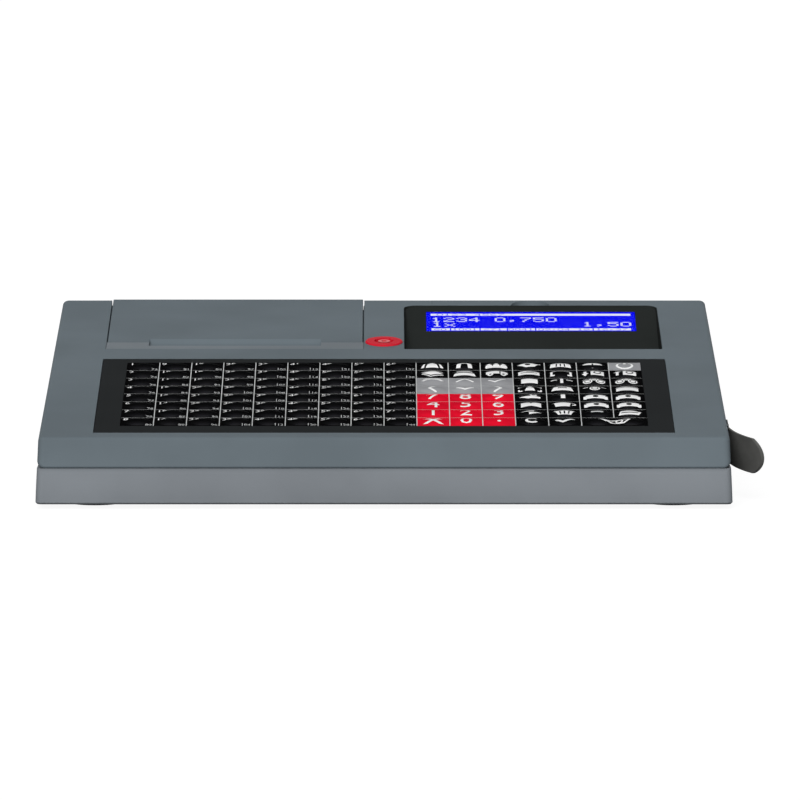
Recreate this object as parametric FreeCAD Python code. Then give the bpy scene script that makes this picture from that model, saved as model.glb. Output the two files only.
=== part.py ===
import FreeCAD, Part
import math
import os
from FreeCAD import Placement, Rotation, Vector

# Low flat ticket register with a membrane keyboard, a receipt printer under a rear lid,
# an operator screen sunk in the deck and a customer display that slides up behind it.
# Lengths are millimetres, angles degrees. X runs to the right, Y to the back, Z up.
# The case is drawn with Y = 0 and X = 0 at the middle of the ridge and Z = 0 at its underside.
# Pieces of the sloped deck are drawn flat (x, l back along the deck, n up from it) and then tilted.

# General
overrun = 5.0
seat_gap = 0.3
slide_gap = 0.4
pin_gap = 0.08
flat_tolerance = 0.01
cut_lap = 1.0
post_sides = 10
screw_r = 1.25
screw_head_r = 2.8
screw_head_h = 2.0

# Keyboard field, whose pitch sets the scale of the case
key_pitch = 19.05
key_columns = 16
key_rows = 8
dome_r = 7.9
dome_h = 1.3
dome_sides = 8
dome_top_share = 0.5
overlay_t = 0.9
legend_t = 0.3
membrane_t = 1.6
overlay_sink = 0.25
field_front = 27.6
bezel_side = 14.9
bezel_front = 16.7
bezel_back = 9.2
bezel_sink = 0.2
bezel_corner_r = 1.4
plate_t = 1.5
plate_margin = 4.0
plate_flange = 5.0
ribbon_t = 0.3
ribbon_w = 26.0
ribbon_x = 60.0

# Case
case_side = 32.7
side_draft = 1.95
deck_tilt = 8.5
ridge_height = 37.4
front_lean = 18.5
front_reach = 13.0
front_ledge = 7.0
seam_height = 20.0
seam_round = 1.2
shoulder_r = 5.5
wall = 2.5
deck_edge_r = 3.0
corner_r = 4.0
underside_edge = 1.0
lip_height = 3.0
lip_t = 1.4
boss_r = 4.5
boss_side = 15.0
boss_pilot_r = 1.35
boss_hole_r = 1.7
boss_sink_r = 3.4
boss_sink_depth = 8.0
boss_front = 12.0
boss_back_inset = 13.0
case_screw_length = 18.0
deck_rib_t = 1.5
deck_rib_depth = 7.0
deck_rib_gap = 6.8
floor_rib_h = 2.0
floor_rib_t = 1.5
floor_rib_count = 5

# Feet and vents
foot_r = 15.25
foot_drop = 3.0
foot_sink = 0.6
foot_front = 25.2
foot_back_inset = 30.0
vent_count = 10
vent_w = 2.6
vent_length = 32.0
vent_pitch = 8.0
vent_y = 75.0
vent_x = -120.0

# Printer bay, lid and paper exit
bay_side = 33.4
bay_inner = 12.4
bay_strip = 24.8
exit_reach = 16.7
lid_gap = 0.8
trim_gap = 0.25
ledge_depth = 3.8
ledge_t = 2.2
ledge_w = 3.5
ledge_web = 1.5
ledge_end = 7.0
lid_t = 2.5
channel_w = 103.4
channel_back = 7.7
channel_front = 9.0
channel_depth = 3.4
channel_wall = 1.4
channel_mid_share = 0.62
slot_lip = 0.5
hinge_inset = 5.0
hinge_drop = 6.5
hinge_pin_r = 1.5
knuckle_r = 3.6
knuckle_w = 10.0
ear_w = 3.6
ear_gap = 0.4
ear_root = 24.0
hinge_edge = 10.0
rear_notch = 12.5
lid_rib_t = 1.5
lid_rib_h = 1.2
tear_t = 0.8
tear_h = 2.0
tear_tooth = 2.0
tear_w = 84.0
tear_base_share = 0.6

# Paper, bucket and roll
paper_w = 79.5
paper_t = 0.15
roll_r = 30.0
core_r = 8.5
core_bore_r = 6.0
bucket_side_gap = 1.6
bucket_t = 2.0
bucket_r = 32.5
bucket_reach = 59.0
bucket_behind = 13.0
bucket_n = -36.0
bucket_lip_n = -14.0
web_wrap_share = 0.45
rim_front_gap = 4.0
rim_back_gap = 1.0
rim_inset = 2.0

# Platen, gears and feed motor
platen_reach = 6.8
platen_n = -13.0
platen_r = 6.0
platen_half = 41.0
shaft_r = 2.5
bush_r = 4.0
bracket_gap = 2.0
bracket_t = 3.0
bracket_back = 6.5
bracket_front = 5.0
bracket_drop = 5.5
bracket_round_share = 0.7
gear_module = 0.8
platen_teeth = 18
idler_teeth = 26
pinion_teeth = 12
gear_w = 6.0
addendum_share = 0.85
dedendum_share = 1.25
tip_half_share = 0.36
root_half_share = 1.02
idler_pin_r = 2.0
idler_pin_head_r = 3.2
idler_pin_head = 1.2
motor_bearing = 200.0
motor_r = 12.0
motor_length = 22.0
motor_shaft_r = 1.0
motor_boss_r = 3.0

# Printer frame and thermal head
frame_t = 1.2
frame_inset = 2.7
frame_ahead = 10.0
frame_behind = 8.5
frame_drop = 1.3
frame_below = 2.2
frame_slot_half = 3.4
nip_gap = 0.7
head_t = 4.0
head_above = 5.7
head_below = 9.0
head_inset = 6.0
heater_h = 3.0
heater_t = 0.25
head_pin_r = 1.5
head_pin_below = 6.5
spring_room = 7.8
spring_bar_t = 1.5
spring_bar_drop = 3.7
spring_bar_h = 5.0
leaf_t = 0.5
leaf_w = 30.0
leaf_gap = 0.6
printer_post_r = 4.0
printer_post_inset = 5.0

# Operator screen
tray_strip = 24.3
tray_behind = 16.6
tray_sink = 1.0
tray_extra_tilt = 4.0
tray_back_r = 7.0
tray_front_r = 1.2
tray_draft_run = 1.2
tray_rim = 0.25
tray_floor = 2.0
window_side = 13.3
window_back = 8.0
window_depth = 40.5
pane_t = 0.5
pane_gap = 0.1
module_margin = 5.0
module_t = 6.5
glass_t = 1.2
screen_board_t = 1.6
screen_board_margin = 5.5

# Operator key reader
reader_r = 11.25
reader_proud = 1.0
reader_barrel_r = 8.5
reader_barrel = 10.0
reader_pocket_r = 5.75
reader_pocket = 2.4
reader_edge = 0.6
contact_r = 3.65
contact_sink = 0.2
contact_dish_r = 1.6
contact_dish = 0.5
contact_flange_r = 5.0
contact_flange = 1.0
contact_stroke = 0.8
reader_spring_r = 3.4
reader_spring_wall = 0.6
reader_board_r = 8.0
reader_board_t = 1.6
reader_chamber = 5.6

# Customer display
head_w = 120.0
head_depth = 9.74
head_back_gap = 0.5
head_height = 48.0
head_wall = 1.6
head_gap = 0.15
grip_r = 11.8
grip_ahead = 3.3
grip_depth = 7.0
view_side = 8.0
view_h = 24.0
view_drop = 7.0
view_t = 1.5
digits_t = 2.6
rail_t = 2.4
rail_front_t = 2.4
rail_overlap = 3.0
rail_drop = 5.5

# Main board and rear sockets
board_left = 0.0
board_side = 22.0
board_long = 117.0
board_gap = 0.95
board_t = 1.6
board_lift = 3.5
standoff_r = 3.2
standoff_inset = 6.0
standoff_pilot_r = 1.2
board_screw_length = 5.0
socket_h = 11.5
socket_depth = 18.0
socket_proud = 0.4
socket_wall = 1.5
jack_w = 15.6
jack_mouth_w = 11.8
jack_mouth_h = 7.6
jack_mouth_depth = 12.0
drawer_inset = 15.5
serial_steps = (22.0, 42.0)
network_step = 68.0
power_inset = 6.0
power_w = 10.0
power_bore_r = 3.2
power_pin_r = 1.05
power_bore_depth = 9.0
battery_r = 10.0
battery_h = 3.2
battery_inset = 40.0
battery_behind = 51.0
buzzer_r = 6.0
buzzer_h = 7.5
buzzer_inset = 20.0
buzzer_ahead = 22.0
chip_h = 1.4
chip_wide = 24.0
chip_long = 24.0

# Side cover and the socket behind it
cover_top = 6.0
cover_h = 20.7
cover_t = 1.3
cover_fold = 47.0
anchor_back = 65.0
cover_length = 40.0
cover_start_angle = 11.0
cover_end_angle = 46.0
cover_tip_r = 12.0
cover_fold_gap = 0.35
fold_pin_r = 0.45
bay_cut_front = 20.0
bay_cut_back = 44.0
bay_cut_top = 9.0
bay_cut_bottom = 19.0
side_socket_w = 13.2
side_socket_h = 6.0
side_socket_depth = 15.0
side_socket_wall = 0.5
side_flange_t = 1.0
side_flange_margin = 2.0

# Sizes that follow from the ones above
tan_tilt = math.tan(math.radians(deck_tilt))
cos_tilt = math.cos(math.radians(deck_tilt))
tan_lean = math.tan(math.radians(front_lean))
cos_lean = math.cos(math.radians(front_lean))
tan_draft = math.tan(math.radians(side_draft))
cos_draft = math.cos(math.radians(side_draft))
field_half = key_pitch * key_columns / 2
field_back = field_front + key_pitch * key_rows
bezel_half = field_half + bezel_side
bezel_l0 = field_front - bezel_front
bezel_l1 = field_back + bezel_back
stack_n = -(overlay_sink + overlay_t + legend_t + membrane_t)
case_width = 2 * (bezel_half + case_side)
bay_left = bay_side - case_width / 2
bay_right = -bay_inner
bay_front = bezel_l1 + bay_strip
channel_center = (bay_left + bay_right) / 2
exit_l = bay_front + exit_reach
platen_l = exit_l + platen_reach
bucket_l = platen_l + bucket_reach
deck_length = bucket_l + bucket_r + bucket_behind
rear_y = deck_length * cos_tilt
front_rise = front_reach - front_ledge
front_arc_r = (front_rise ** 2 + seam_height ** 2) / (2 * front_rise)
shoulder_low = (seam_height - shoulder_r) / (1 - shoulder_r / front_arc_r)
hinge_l = deck_length - hinge_inset
hinge_n = -hinge_drop
ledge_back = hinge_l - ledge_end
platen_pitch_r = gear_module * platen_teeth / 2
idler_pitch_r = gear_module * idler_teeth / 2
pinion_pitch_r = gear_module * pinion_teeth / 2
idler_l = platen_l
idler_n = platen_n - platen_pitch_r - idler_pitch_r
motor_reach = idler_pitch_r + pinion_pitch_r
motor_l = idler_l + motor_reach * math.cos(math.radians(motor_bearing))
motor_n = idler_n + motor_reach * math.sin(math.radians(motor_bearing))
head_face_l = platen_l - platen_r - nip_gap
head_top = platen_n + head_above
head_bottom = platen_n - head_below
head_pin_n = platen_n - head_pin_below
spring_bar_l = head_face_l - head_t - spring_room
spring_bar_top = head_top - spring_bar_drop
frame_front = spring_bar_l - frame_ahead
frame_back = platen_l + frame_behind
frame_top = head_top - frame_drop
frame_slot_n = platen_n - bush_r
frame_bottom = motor_n - motor_r - frame_below
frame_half = channel_w / 2 - frame_inset
head_half = frame_half - head_inset
frame_left = channel_center - frame_half
gear_right = frame_left - frame_t - seat_gap
gear_left = gear_right - gear_w
rim_front = frame_back + rim_front_gap
rim_back = hinge_l - knuckle_r - rim_back_gap
roll_n = bucket_n - (bucket_r - roll_r) + seat_gap
bucket_half = paper_w / 2 + bucket_side_gap
tray_left = bay_inner
tray_right = case_width / 2 - bay_side
tray_front = bezel_l1 + tray_strip
tray_back = deck_length - tray_behind
window_left = tray_left + window_side
window_right = tray_right - window_side
head_x = (tray_left + tray_right) / 2
view_w = head_w - 2 * view_side
head_back_y = rear_y - wall - head_back_gap
head_front_y = head_back_y - head_depth
head_front_z = ridge_height + head_front_y * tan_tilt
grip_center_y = head_front_y - grip_ahead
rail_front_y = head_front_y - head_gap - rail_front_t
rail_back_y = rear_y - wall - seat_gap - lip_t - 2 * slide_gap
rail_top = head_front_z - rail_drop
board_right = case_width / 2 - board_side
board_back = rail_front_y - board_gap
board_front = board_back - board_long
board_z = wall + board_lift
drawer_x = head_x + head_w / 2 - drawer_inset
serial_xs = [drawer_x - step for step in serial_steps]
network_x = drawer_x - network_step
power_x = board_right - power_inset
battery_x = board_left + battery_inset
battery_y = board_front + battery_behind
buzzer_x = board_left + buzzer_inset
buzzer_y = board_back - buzzer_ahead
deck_rib_l = bezel_l1 + plate_margin + deck_rib_gap
boss_x = case_width / 2 - boss_side
boss_ys = (boss_front, deck_rib_l * cos_tilt, rear_y - boss_back_inset)
foot_x = case_width / 2 - bay_side
foot_ys = (foot_front, rear_y - foot_back_inset)
span = case_width + deck_length


def box(x0, x1, y0, y1, z0, z1):
    return Part.makeBox(x1 - x0, y1 - y0, z1 - z0, Vector(x0, y0, z0))


def post(radius, x, y, z0, z1):
    return Part.makeCylinder(radius, z1 - z0, Vector(x, y, z0), Vector(0, 0, 1))


def ring(radius, x, y, z, sides):
    angles = [2 * math.pi * (side + 1 / 2) / sides for side in range(sides)]
    return [Vector(x + radius * math.cos(angle), y + radius * math.sin(angle), z) for angle in angles]


def facet(corners):
    return Part.Face(Part.makePolygon(corners + corners[:1]))


def facet_post(radius, x, y, z0, z1):
    """A post or hole inside the case, drawn with flat sides."""
    return facet(ring(radius, x, y, z0, post_sides)).extrude(Vector(0, 0, z1 - z0))


def rod_x(radius, x0, x1, y, z):
    return Part.makeCylinder(radius, x1 - x0, Vector(x0, y, z), Vector(1, 0, 0))


def facet_rod(radius, x0, x1, y, z):
    corners = [Vector(x0, point.x, point.y) for point in ring(radius, y, z, 0, post_sides)]
    return facet(corners).extrude(Vector(x1 - x0, 0, 0))


def prism_x(points, x0, x1):
    wire = Part.makePolygon([Vector(x0, y, z) for y, z in points + points[:1]])
    return Part.Face(wire).extrude(Vector(x1 - x0, 0, 0))


def prism_y(points, y0, y1):
    wire = Part.makePolygon([Vector(x, y0, z) for x, z in points + points[:1]])
    return Part.Face(wire).extrude(Vector(0, y1 - y0, 0))


def rounded_wire(x0, x1, y0, y1, z, front_r, back_r):
    """A rectangle with round corners, its front and back corners rounded differently."""
    corners = ((x1, y0, front_r, -90), (x1, y1, back_r, 0), (x0, y1, back_r, 90), (x0, y0, front_r, 180))
    arcs = []
    for x, y, radius, start in corners:
        center = Vector(x - math.copysign(radius, x - (x0 + x1) / 2),
                        y - math.copysign(radius, y - (y0 + y1) / 2), z)
        arcs.append(Part.makeCircle(radius, center, Vector(0, 0, 1), start, start + 90))
    edges = []
    for index, arc in enumerate(arcs):
        following = arcs[(index + 1) % len(arcs)]
        edges.append(arc)
        edges.append(Part.makeLine(arc.Vertexes[-1].Point, following.Vertexes[0].Point))
    return Part.Wire(edges)


def rounded_prism(x0, x1, y0, y1, z0, z1, front_r, back_r):
    face = Part.Face(rounded_wire(x0, x1, y0, y1, z0, front_r, back_r))
    return face.extrude(Vector(0, 0, z1 - z0))


def placed(shape, place):
    moved = shape.copy()
    moved.Placement = place.multiply(moved.Placement)
    return moved


deck_place = Placement(Vector(0, 0, ridge_height), Rotation(Vector(1, 0, 0), deck_tilt))
panel_turn = Placement(Vector(0, tray_back, -tray_sink), Rotation(Vector(1, 0, 0), tray_extra_tilt))
panel_place = deck_place.multiply(panel_turn)


def on_deck(shape):
    return placed(shape, deck_place)


def on_panel(shape):
    """Screen pieces are drawn flat, with y = 0 at the back edge of the sunk panel."""
    return placed(shape, panel_place)


def half_width(z, inset=0.0):
    return case_width / 2 - z * tan_draft - inset / cos_draft


def on_side(shape):
    """Side pieces are drawn with x = 0 on the right wall, y along the deck and z = 0 at its edge."""
    top_right = Vector(half_width(ridge_height), 0, ridge_height)
    lean = Placement(top_right, Rotation(Vector(0, 1, 0), -side_draft))
    slope = Placement(Vector(0, 0, 0), Rotation(Vector(1, 0, 0), deck_tilt))
    return placed(shape, lean.multiply(slope))


def fuse(first, *others):
    return first.multiFuse(list(others)).removeSplitter()


def rounded(shape, radius, chosen):
    return shape.makeFillet(radius, [edge for edge in shape.Edges if chosen(edge)])


def stands_up(edge):
    ends = [vertex.Point for vertex in edge.Vertexes]
    rise = abs(ends[-1].z - ends[0].z)
    return rise > abs(ends[-1].x - ends[0].x) and rise > abs(ends[-1].y - ends[0].y)


def lies_at(z):
    return lambda edge: all(abs(vertex.Point.z - z) < flat_tolerance for vertex in edge.Vertexes)


def on_top(edge):
    heights = [vertex.Point.z - ridge_height - vertex.Point.y * tan_tilt for vertex in edge.Vertexes]
    return all(abs(height) < flat_tolerance for height in heights)


def front_seam(edge):
    return lies_at(seam_height)(edge) and all(vertex.Point.y < 0 for vertex in edge.Vertexes)


# Case blocks

def drafted(inset, z0, z1):
    sides = [(-half_width(z0, inset), z0), (half_width(z0, inset), z0),
             (half_width(z1, inset), z1), (-half_width(z1, inset), z1)]
    return prism_y(sides, -span, span)


def upper_block(inset, z_low):
    """The wedge above the seam, with every face moved in by the inset."""
    ridge_y = (inset / cos_lean - inset * tan_lean / cos_tilt) / (1 - tan_lean * tan_tilt)
    ridge_z = ridge_height + ridge_y * tan_tilt - inset / cos_tilt
    back_y = rear_y - inset
    back_z = ridge_height + back_y * tan_tilt - inset / cos_tilt
    low_y = tan_lean * (z_low - ridge_height) + inset / cos_lean
    profile = [(low_y, z_low), (back_y, z_low), (back_y, back_z), (ridge_y, ridge_z)]
    return prism_x(profile, -span, span).common(drafted(inset, z_low, back_z))


def lower_block(inset, z_low, z_high):
    """The tray below the seam, whose front is a bulging arc that ends upright at the underside."""
    radius = front_arc_r - inset
    center = front_arc_r - front_reach

    def front(z):
        return Vector(-span, center - math.sqrt(radius ** 2 - z ** 2), z)

    back_low = Vector(-span, rear_y - inset, z_low)
    back_high = Vector(-span, rear_y - inset, z_high)
    edges = [Part.makeLine(front(z_low), back_low), Part.makeLine(back_low, back_high),
             Part.makeLine(back_high, front(z_high)),
             Part.Arc(front(z_high), front((z_low + z_high) / 2), front(z_low)).toShape()]
    prism = Part.Face(Part.Wire(edges)).extrude(Vector(2 * span, 0, 0))
    return prism.common(drafted(inset, z_low, z_high))


def upper_bosses():
    room = upper_block(wall / 2, seam_height)
    bosses = []
    for x in (-boss_x, boss_x):
        for y in boss_ys:
            boss = facet_post(boss_r, x, y, seam_height, span).common(room)
            bosses.append(boss.cut(facet_post(boss_pilot_r, x, y, 0, seam_height + case_screw_length)))
    return bosses


def hinge_centers():
    """Middle of the lid's two hinge knuckles along X."""
    offset = hinge_edge + knuckle_w / 2
    return (bay_left + offset, bay_right - offset)


def hinge_ears():
    ears = []
    for center in hinge_centers():
        for side in (-1, 1):
            inner = center + side * (knuckle_w / 2 + ear_gap)
            x0, x1 = sorted((inner, inner + side * ear_w))
            eye = facet_rod(knuckle_r, x0, x1, hinge_l, hinge_n)
            leg = box(x0, x1, hinge_l - knuckle_r, hinge_l + knuckle_r, -ear_root, hinge_n)
            hole = rod_x(hinge_pin_r, x0 - overrun, x1 + overrun, hinge_l, hinge_n)
            ear = on_deck(fuse(eye, leg).cut(hole))
            ears.append(ear.common(upper_block(0, seam_height)))
    return ears


def bay_ledges():
    """Shelves under the side gaps of the lid, each hung from the deck by a web."""
    ledges = []
    back_narrow = deck_length - wall
    for edge, out in ((bay_left - seat_gap, -1), (bay_right + seat_gap, 1)):
        web_in = edge + out * ledge_web
        web_out = edge + out * 2 * ledge_web
        shelf_in = edge - out * ledge_w
        top = -ledge_depth
        web = box(min(web_in, web_out), max(web_in, web_out), bay_front, back_narrow,
                  top - ledge_t, -wall / 2)
        shelf = box(min(shelf_in, web_out), max(shelf_in, web_out), bay_front, ledge_back,
                    top - ledge_t, top)
        tail = box(min(edge - out * slot_lip, web_out), max(edge - out * slot_lip, web_out),
                   ledge_back - overrun, back_narrow, top - ledge_t, top)
        ledges += [on_deck(web), on_deck(shelf), on_deck(tail)]
    return ledges


def keyboard_seat():
    """A raised ring under the deck that the keyboard plate is pressed against."""
    ring = box(-bezel_half - plate_margin, bezel_half + plate_margin, bezel_l0 - plate_margin,
               bezel_l1 + plate_margin, stack_n, -wall / 2)
    hole = box(-bezel_half - seat_gap, bezel_half + seat_gap, bezel_l0 - seat_gap,
               bezel_l1 + seat_gap, stack_n - overrun, overrun)
    return on_deck(ring.cut(hole))


def upper_cuts():
    deep = wall + overrun
    key_hole = box(-bezel_half - seat_gap, bezel_half + seat_gap, bezel_l0 - seat_gap,
                   bezel_l1 + seat_gap, -deep, overrun)
    lid_hole = box(bay_left - seat_gap, bay_right + seat_gap, bay_front - trim_gap,
                   deck_length + overrun, -ledge_depth, overrun)
    swing = box(bay_left, bay_right, ledge_back, deck_length + overrun, -rear_notch, overrun)
    tray_hole = rounded_prism(tray_left - seat_gap, tray_right + seat_gap, tray_front - seat_gap,
                              tray_back + seat_gap, -deep, overrun, tray_front_r, tray_back_r)
    reader_hole = post(reader_barrel_r + seat_gap, 0, exit_l, -deep, overrun)
    cuts = [on_deck(cut) for cut in (key_hole, lid_hole, swing, tray_hole, reader_hole)]
    head_half_w = head_w / 2 + head_gap
    cuts.append(box(head_x - head_half_w, head_x + head_half_w, head_front_y - head_gap,
                    head_back_y + head_gap, seam_height + overrun, span))
    cuts.append(post(grip_r, head_x, grip_center_y, rail_top, span))
    cuts.append(on_side(box(-deep, overrun, bay_cut_front, bay_cut_back, -bay_cut_bottom, -bay_cut_top)))
    return cuts


def upper_case():
    outer = rounded(upper_block(0, seam_height), seam_round, front_seam)
    outer = rounded(outer, corner_r, stands_up)
    outer = rounded(outer, deck_edge_r, on_top)
    shell = outer.cut(upper_block(wall, seam_height - overrun))
    rib_half = boss_x
    rib = on_deck(box(-rib_half, rib_half, deck_rib_l, deck_rib_l + deck_rib_t,
                      -wall - deck_rib_depth, -wall / 2))
    shell = shell.multiFuse([rib, keyboard_seat()] + upper_bosses())
    shell = shell.cut(Part.makeCompound(upper_cuts()))
    shell = shell.multiFuse(bay_ledges() + hinge_ears())
    return shell.removeSplitter()


def seam_lip():
    """The lower case's upstanding rim that locates the upper case from inside."""
    outside = wall + seat_gap
    inside = outside + lip_t
    low = seam_height - lip_height
    core = upper_block(inside, low - overrun)
    slab = box(-span, span, -span, span, low, seam_height + lip_height)
    rim = upper_block(outside, low).common(slab).cut(core)
    base = lower_block(wall / 2, low, seam_height).cut(core)
    return fuse(rim, base)


def front_shoulder():
    """What the round shoulder under the front seam takes away from the lower case."""
    low_share = shoulder_low / front_arc_r
    front_y = front_arc_r - front_reach - math.sqrt(front_arc_r ** 2 - shoulder_low ** 2)
    center_y = front_y + shoulder_r * math.sqrt(1 - low_share ** 2)
    corner = box(-span, span, front_y - overrun, center_y, shoulder_low, seam_height)
    return corner.cut(rod_x(shoulder_r, -span, span, center_y, seam_height - shoulder_r))


def floor_ribs():
    ribs = []
    length = rear_y - 2 * wall
    for index in range(floor_rib_count):
        y = wall + length * (index + 1) / (floor_rib_count + 1)
        room = half_width(wall, wall / 2)
        ribs.append(box(-room, room, y, y + floor_rib_t, wall / 2, wall + floor_rib_h / 2))
    return ribs


def printer_posts():
    room = box(-span, span, -span, span, wall / 2, span)
    posts = []
    for side in (-1, 1):
        for l in (frame_front + printer_post_inset, frame_back - printer_post_inset):
            x = channel_center + side * (frame_half - printer_post_inset)
            leg = facet_post(printer_post_r, x, l, -span, frame_bottom)
            posts.append(on_deck(leg).common(room))
    return posts


def standoff_places():
    return [(x, y) for x in (board_left + standoff_inset, board_right - standoff_inset)
            for y in (board_front + standoff_inset, board_back - standoff_inset)]


def rear_mouths():
    """Holes in the rear wall for the sockets: centre and half width of each."""
    jacks = [(x, jack_w / 2) for x in [drawer_x, network_x] + serial_xs]
    return jacks + [(power_x, power_w / 2)]


def side_socket_room():
    """Space in the locating rim for the flange of the side socket."""
    face = -wall / cos_draft
    return on_side(box(face - side_flange_t - lip_t, face, bay_cut_front - side_flange_margin - seat_gap,
                       bay_cut_back + side_flange_margin + seat_gap,
                       -bay_cut_bottom - side_flange_margin - seat_gap, 0))


def lower_case():
    outer = rounded(lower_block(0, 0, seam_height), corner_r, stands_up)
    outer = outer.makeChamfer(underside_edge, [edge for edge in outer.Edges if lies_at(0)(edge)])
    shell = outer.cut(lower_block(wall, wall, seam_height + cut_lap))
    added = [seam_lip()] + floor_ribs() + printer_posts()
    cuts = []
    for x in (-boss_x, boss_x):
        for y in boss_ys:
            added.append(facet_post(boss_r, x, y, wall / 2, seam_height))
            cuts.append(facet_post(boss_hole_r, x, y, -overrun, span))
            cuts.append(facet_post(boss_sink_r, x, y, -overrun, boss_sink_depth))
    for x, y in standoff_places():
        added.append(facet_post(standoff_r, x, y, wall / 2, board_z))
        cuts.append(facet_post(standoff_pilot_r, x, y, wall, span))
    for x in (-foot_x, foot_x):
        for y in foot_ys:
            cuts.append(post(foot_r + seat_gap / 2, x, y, -overrun, foot_sink))
    for x, half in rear_mouths():
        cuts.append(box(x - half - seat_gap, x + half + seat_gap, board_back, rear_y + overrun,
                        board_z + board_t - seat_gap, board_z + board_t + socket_h + seat_gap))
    cuts += [side_socket_room(), front_shoulder()]
    for index in range(vent_count):
        x = vent_x + (index - (vent_count - 1) / 2) * vent_pitch
        cuts.append(box(x - vent_w / 2, x + vent_w / 2, vent_y, vent_y + vent_length,
                        -overrun, wall + floor_rib_h))
    shell = shell.multiFuse(added)
    return shell.cut(Part.makeCompound(cuts)).removeSplitter()


def rubber_feet():
    feet = []
    for x in (-foot_x, foot_x):
        for y in foot_ys:
            feet.append(post(foot_r, x, y, -foot_drop, foot_sink))
    return Part.makeCompound(feet)


def screw(x, y, seat, length):
    """A pan-head screw that stands point up, its head's bearing face at the seat height."""
    head = facet_post(screw_head_r, x, y, seat - screw_head_h, seat)
    return fuse(head, facet_post(screw_r, x, y, seat - screw_head_h / 2, seat + length))


def case_screws():
    return Part.makeCompound([screw(x, y, boss_sink_depth, case_screw_length)
                              for x in (-boss_x, boss_x) for y in boss_ys])


# Keyboard

def keyboard_bezel():
    """Black frame around the key film, level with the deck."""
    frame = rounded_prism(-bezel_half, bezel_half, bezel_l0, bezel_l1, stack_n, -bezel_sink,
                          bezel_corner_r, bezel_corner_r)
    window = box(-field_half - seat_gap, field_half + seat_gap, field_front - seat_gap,
                 field_back + seat_gap, -span, overrun)
    return on_deck(frame.cut(window))


def dome(column, row):
    """One raised key field, a low round dome drawn with flat facets."""
    x = (column + 1 / 2) * key_pitch - field_half
    y = field_front + (row + 1 / 2) * key_pitch
    low = ring(dome_r, x, y, -overlay_sink, dome_sides)
    high = ring(dome_r * dome_top_share, x, y, dome_h - overlay_sink, dome_sides)
    sides = [facet([low[side - 1], low[side], high[side], high[side - 1]]) for side in range(dome_sides)]
    return Part.Solid(Part.Shell(sides + [facet(low), facet(high)]))


def key_overlay():
    """Clear film over the whole key field, pressed up into a dome over every switch."""
    film = box(-field_half, field_half, field_front, field_back, -overlay_sink - overlay_t, -overlay_sink)
    domes = [dome(column, row) for column in range(key_columns) for row in range(key_rows)]
    return on_deck(film.multiFuse(domes))


def field_sheet(top, thickness):
    return on_deck(box(-field_half, field_half, field_front, field_back, top - thickness, top))


def legend_sheet():
    return field_sheet(-overlay_sink - overlay_t, legend_t)


def switch_membrane():
    return field_sheet(-overlay_sink - overlay_t - legend_t, membrane_t)


def keyboard_plate():
    """Steel plate with its front and back edges folded down for stiffness."""
    half = bezel_half + plate_margin
    l0 = bezel_l0 - plate_margin
    l1 = bezel_l1 + plate_margin
    low = stack_n - plate_t
    plate = box(-half, half, l0, l1, low, stack_n)
    front = box(-half, half, l0, l0 + plate_t, low - plate_flange, low)
    back = box(-half, half, l1 - plate_t, l1, low - plate_flange, low)
    return on_deck(fuse(plate, front, back))


def keyboard_ribbon():
    """Flat cable that leaves the plate's back flange and drops to the main board."""
    l1 = bezel_l1 + plate_margin
    start = deck_place.multVec(Vector(0, l1 - plate_t * 2, stack_n - plate_t))
    low = board_z + board_t
    end_y = board_front + standoff_inset
    path = [(start.y, start.z), (start.y, low), (end_y, low)]
    far_y = start.y + ribbon_t
    path += [(end_y, low + ribbon_t), (far_y, low + ribbon_t), (far_y, start.z)]
    return prism_x(path, ribbon_x, ribbon_x + ribbon_w)


# Printer lid, paper exit and hinge

def channel_points(side):
    """Half of the finger channel in (l, n), on the lid (1) or on the exit trim (-1)."""
    lip = exit_l + side * (lid_gap / 2)
    far = exit_l + side * (channel_back if side > 0 else channel_front)
    middle = (lip + far) / 2
    return [(lip - side * overrun, overrun), (far, overrun), (far, 0),
            (middle + side * channel_wall / 2, -channel_depth * channel_mid_share),
            (lip, -channel_depth), (lip - side * overrun, -channel_depth)]


def channel_body(side):
    """The thicker bridge under half of the channel."""
    lip = exit_l + side * (lid_gap / 2)
    far = exit_l + side * (channel_back + channel_wall if side > 0 else channel_front + channel_wall)
    half = channel_w / 2 + channel_wall
    points = [(lip, 0), (far, 0), (far, -lid_t), (lip + side * channel_wall, -channel_depth - channel_wall),
              (lip, -channel_depth - channel_wall)]
    return prism_x(points, channel_center - half, channel_center + half)


def channel_cut(side):
    half = channel_w / 2
    return prism_x(channel_points(side), channel_center - half, channel_center + half)


def platen_bracket(side):
    """Ear under the lid that holds one end of the platen."""
    near = channel_center + side * (platen_half + bracket_gap)
    x0, x1 = sorted((near, near + side * bracket_t))
    l0 = platen_l - bracket_front
    l1 = platen_l + bracket_back
    plate = box(x0, x1, l0, l1, platen_n - bracket_drop, -lid_t / 2)
    foot = [edge for edge in plate.Edges if lies_at(platen_n - bracket_drop)(edge)]
    foot = [edge for edge in foot if abs(edge.Vertexes[0].X - edge.Vertexes[1].X) > bracket_t / 2]
    plate = plate.makeChamfer(bracket_drop * bracket_round_share, foot)
    return plate.cut(facet_rod(bush_r, x0 - overrun, x1 + overrun, platen_l, platen_n))


def lid_knuckle(center):
    x0, x1 = center - knuckle_w / 2, center + knuckle_w / 2
    eye = facet_rod(knuckle_r, x0, x1, hinge_l, hinge_n)
    web = box(x0, x1, hinge_l - knuckle_r, hinge_l + knuckle_r, hinge_n, -lid_t / 2)
    hole = rod_x(hinge_pin_r + pin_gap, x0 - overrun, x1 + overrun, hinge_l, hinge_n)
    return fuse(eye, web).cut(hole)


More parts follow.
